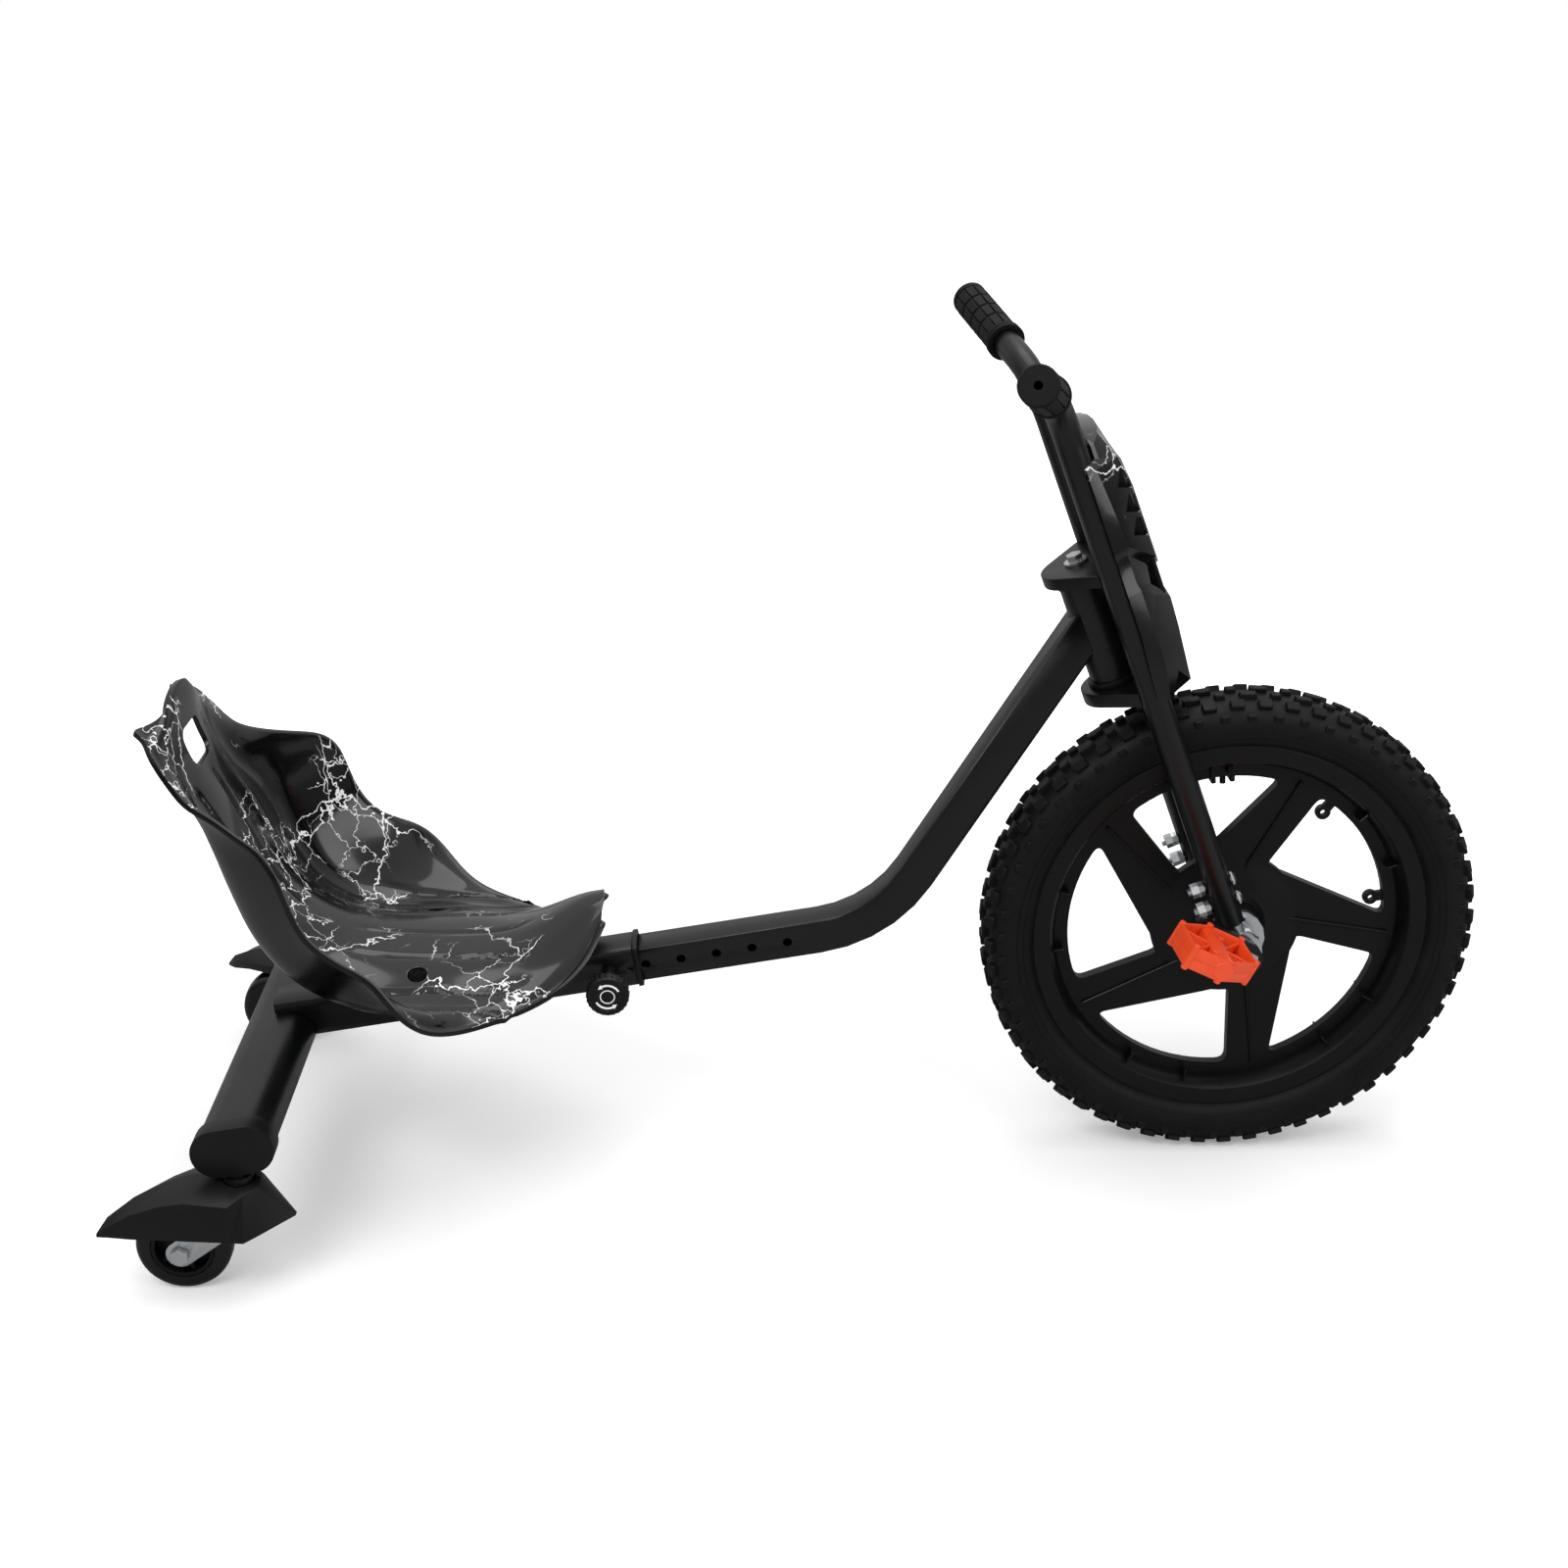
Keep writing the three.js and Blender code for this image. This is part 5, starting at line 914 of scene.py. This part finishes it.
def groove(distance, half):
    """The share of a round-bottomed groove's depth at a distance from its middle line."""
    return max(0.0, 1 - (distance / half) ** 2) ** 1.5


def fade(value, low, high):
    """Rises smoothly from 0 at low to 1 at high."""
    t = min(1.0, max(0.0, (value - low) / (high - low)))
    return t * t * (3 - 2 * t)


# Press the grooves in, away from the sitter: three down the back, seven along the pan
BACK_GROOVES, BACK_DEPTH, BACK_HALF = (-42, 0, 42), 2.6, 3.4
PAN_GROOVES, PAN_DEPTH, PAN_HALF = (-104, -78, -39, 0, 39, 78, 104), 2.2, 3.2
SITTER_SIDE = Vector((0.6, 0, 0.8))
seat.data.update()
for point in seat.data.vertices:
    x, y, z = point.co.x / MM - AXLE_X, point.co.y / MM, point.co.z / MM
    on_back = fade(z, 224, 236) * (1 - fade(z, 338, 350)) * (1 - fade(x, -752, -742))
    on_pan = fade(x, -716, -700) * (1 - fade(x, -588, -566))
    depth = (sum(BACK_DEPTH * groove(y - middle, BACK_HALF) * on_back for middle in BACK_GROOVES)
             + sum(PAN_DEPTH * groove(y - middle, PAN_HALF) * on_pan for middle in PAN_GROOVES))
    if depth:
        toward = point.normal if point.normal.dot(SITTER_SIDE) > 0 else -point.normal
        point.co -= toward * depth * MM
change = seat.modifiers.new("wall", "SOLIDIFY")
change.thickness = SEAT_WALL * MM
change.offset = -1 if seat.data.polygons[len(seat.data.polygons) // 2].normal.z > 0 else 1
change.material_offset = 1
change.material_offset_rim = 0
seat.data.materials.append(gloss_abs)
seat.data.materials.append(crackle)
bpy.ops.object.modifier_apply(modifier=change.name)
merge_doubles(seat)

# Hand hole through the top of the back, and the two recesses for the bolts
hand_hole = block("hand_hole", (120, 46, 30), (AXLE_X - 827, -2, 372))
pick(hand_hole)
bpy.ops.object.mode_set(mode="EDIT")
bpy.ops.mesh.select_all(action="DESELECT")
bpy.ops.object.mode_set(mode="OBJECT")
for edge in hand_hole.data.edges:
    ends = [hand_hole.data.vertices[i].co for i in edge.vertices]
    edge.select = abs(ends[0].x - ends[1].x) > 50 * MM
bpy.ops.object.mode_set(mode="EDIT")
bpy.ops.mesh.select_mode(type="EDGE")
bpy.ops.mesh.bevel(offset=9 * MM, segments=6, affect="EDGES")
bpy.ops.object.mode_set(mode="OBJECT")

# The bolts stand square to the sloping tube, through the bracket's plate
SLOPE = math.radians(9)
SLOPE_UP = Vector((-math.sin(SLOPE), 0, math.cos(SLOPE)))
SLOPE_FORWARD = Vector((math.cos(SLOPE), 0, math.sin(SLOPE)))
SLOPE_START = Vector((AXLE_X - 285.7, 0, 207.69))
BOLTS_BACK, BOLTS_ASIDE, PLATE_TOP = 369.5, 60, 21.6
bolt_places = [(SLOPE_START - SLOPE_FORWARD * BOLTS_BACK + SLOPE_UP * PLATE_TOP
                + Vector((0, side * BOLTS_ASIDE, 0))) * MM for side in (-1, 1)]
recesses = [turned("recess", [(0, 2), (8, 2), (8, 60), (0, 60)], 32, place, SLOPE_UP)
            for place in bolt_places]
cut_away(seat, [hand_hole] + recesses)
bosses = [turned("boss", [(3.3, 0), (11.5, 0), (11.5, 7.0), (8.0, 9.0), (8.0, 5.0), (3.3, 5.0)],
                 32, place, SLOPE_UP) for place in bolt_places]
seat = joined(seat, bosses)
bevelled(seat, 1.3, 55)
settle(seat, 60)
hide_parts("seat_shell")
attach(seat, "rear_frame")

# Camera, floor and light
# A long lens at the rider's right, a plain pale floor, and large soft lamps above and in front.
# The camera's place and lens were solved from the photo's outlines.
deselect_all()
bpy.ops.object.camera_add(location=(-0.07678, -1.49732, 0.92995),
                          rotation=[math.radians(a) for a in (68.1429, -0.1429, -1.8577)])
camera = bpy.context.object
camera.name = "photo_camera"
camera.data.sensor_width = 36
camera.data.lens = 46.36
camera.data.clip_start = 0.05
camera.data.clip_end = 50
bpy.context.scene.camera = camera

# Pale matt floor that fades into the white background away from the trike, and keeps its shadow
studio_white = new_finish("pale_studio_floor", {
    "Base Color": linear("#f2f2f2"), "Roughness": 0.9, "Specular IOR Level": 0.1,
    "Emission Color": (1, 1, 1, 1)})
rays = add_node(studio_white, "ShaderNodeLightPath")
tint = add_node(studio_white, "ShaderNodeMix", {
    "Factor": rays.outputs["Is Glossy Ray"], "A": linear("#f2f2f2"), "B": linear("#a0a0a0")},
    data_type="RGBA")
link(studio_white, tint.outputs["Result"], "Base Color")
place = add_node(studio_white, "ShaderNodeTexCoord")
reach = add_node(studio_white, "ShaderNodeVectorMath", {
    0: place.outputs["Object"]}, operation="LENGTH")
spread = add_node(studio_white, "ShaderNodeMapRange", {
    "Value": reach.outputs["Value"], "From Min": 0.5, "From Max": 1.5,
    "To Min": 0.22, "To Max": 1.0})
lift = add_node(studio_white, "ShaderNodeMath", {
    0: rays.outputs["Is Camera Ray"], 1: spread.outputs["Result"]}, operation="MULTIPLY")
link(studio_white, lift.outputs[0], "Emission Strength")
bpy.ops.mesh.primitive_plane_add(size=16, location=(0, 0, -0.0005))
floor = bpy.context.object
floor.name = "studio_floor"
dress(floor, studio_white)

world = bpy.data.worlds.new("studio_world")
bpy.context.scene.world = world
world.use_nodes = True
sky = world.node_tree.nodes["Background"]
sky.inputs["Color"].default_value = (1, 1, 1, 1)


def world_node(kind, inputs=None, **settings):
    """Adds one node to the world, as add_node does to a material."""
    return add_node(world, kind, inputs, **settings)


# The camera sees white all round. Reflections see white above, a pale wall behind the trike and a
# dark room on the camera's side
seen = world_node("ShaderNodeLightPath")
direction = world_node("ShaderNodeTexCoord")
parts = world_node("ShaderNodeSeparateXYZ", {0: direction.outputs["Generated"]})
above = world_node("ShaderNodeMapRange", {
    "Value": parts.outputs["Z"], "From Min": 0.05, "From Max": 0.8, "To Min": 0.06, "To Max": 1.0})
behind = world_node("ShaderNodeMapRange", {
    "Value": parts.outputs["Y"], "From Min": -0.2, "From Max": 0.6, "To Min": 0.04, "To Max": 0.6})
glow = world_node("ShaderNodeMath", {
    0: above.outputs["Result"], 1: behind.outputs["Result"]}, operation="MAXIMUM")
soft = world_node("ShaderNodeMix", {
    "Factor": seen.outputs["Is Glossy Ray"], "A": 0.62, "B": glow.outputs[0]}, data_type="FLOAT")
plain = world_node("ShaderNodeMath", {
    0: seen.outputs["Is Camera Ray"], 1: seen.outputs["Is Transmission Ray"]}, operation="MAXIMUM")
level = world_node("ShaderNodeMix", {
    "Factor": plain.outputs[0], "A": soft.outputs[0], "B": 1.0}, data_type="FLOAT")
world.node_tree.links.new(level.outputs[0], sky.inputs["Strength"])


def soft_lamp(name, place, aim, size, power):
    """An area lamp of a size in metres that points at a place."""
    deselect_all()
    bpy.ops.object.light_add(type="AREA", location=place)
    lamp = bpy.context.object
    lamp.name = name
    lamp.data.shape = "RECTANGLE"
    lamp.data.size, lamp.data.size_y = size
    lamp.data.energy = power
    lamp.rotation_euler = (Vector(aim) - Vector(place)).to_track_quat("-Z", "Y").to_euler()


soft_lamp("key_lamp", (-1.1, -1.6, 2.3), (0, 0, 0.25), (1.4, 1.0), 26)
soft_lamp("top_lamp", (0.3, 0.2, 2.6), (0, 0, 0.2), (2.2, 1.6), 24)
soft_lamp("fill_lamp", (1.9, -1.5, 1.2), (0.1, 0, 0.3), (1.0, 1.4), 12)

bpy.context.scene.view_settings.view_transform = "Standard"
bpy.context.view_layer.update()
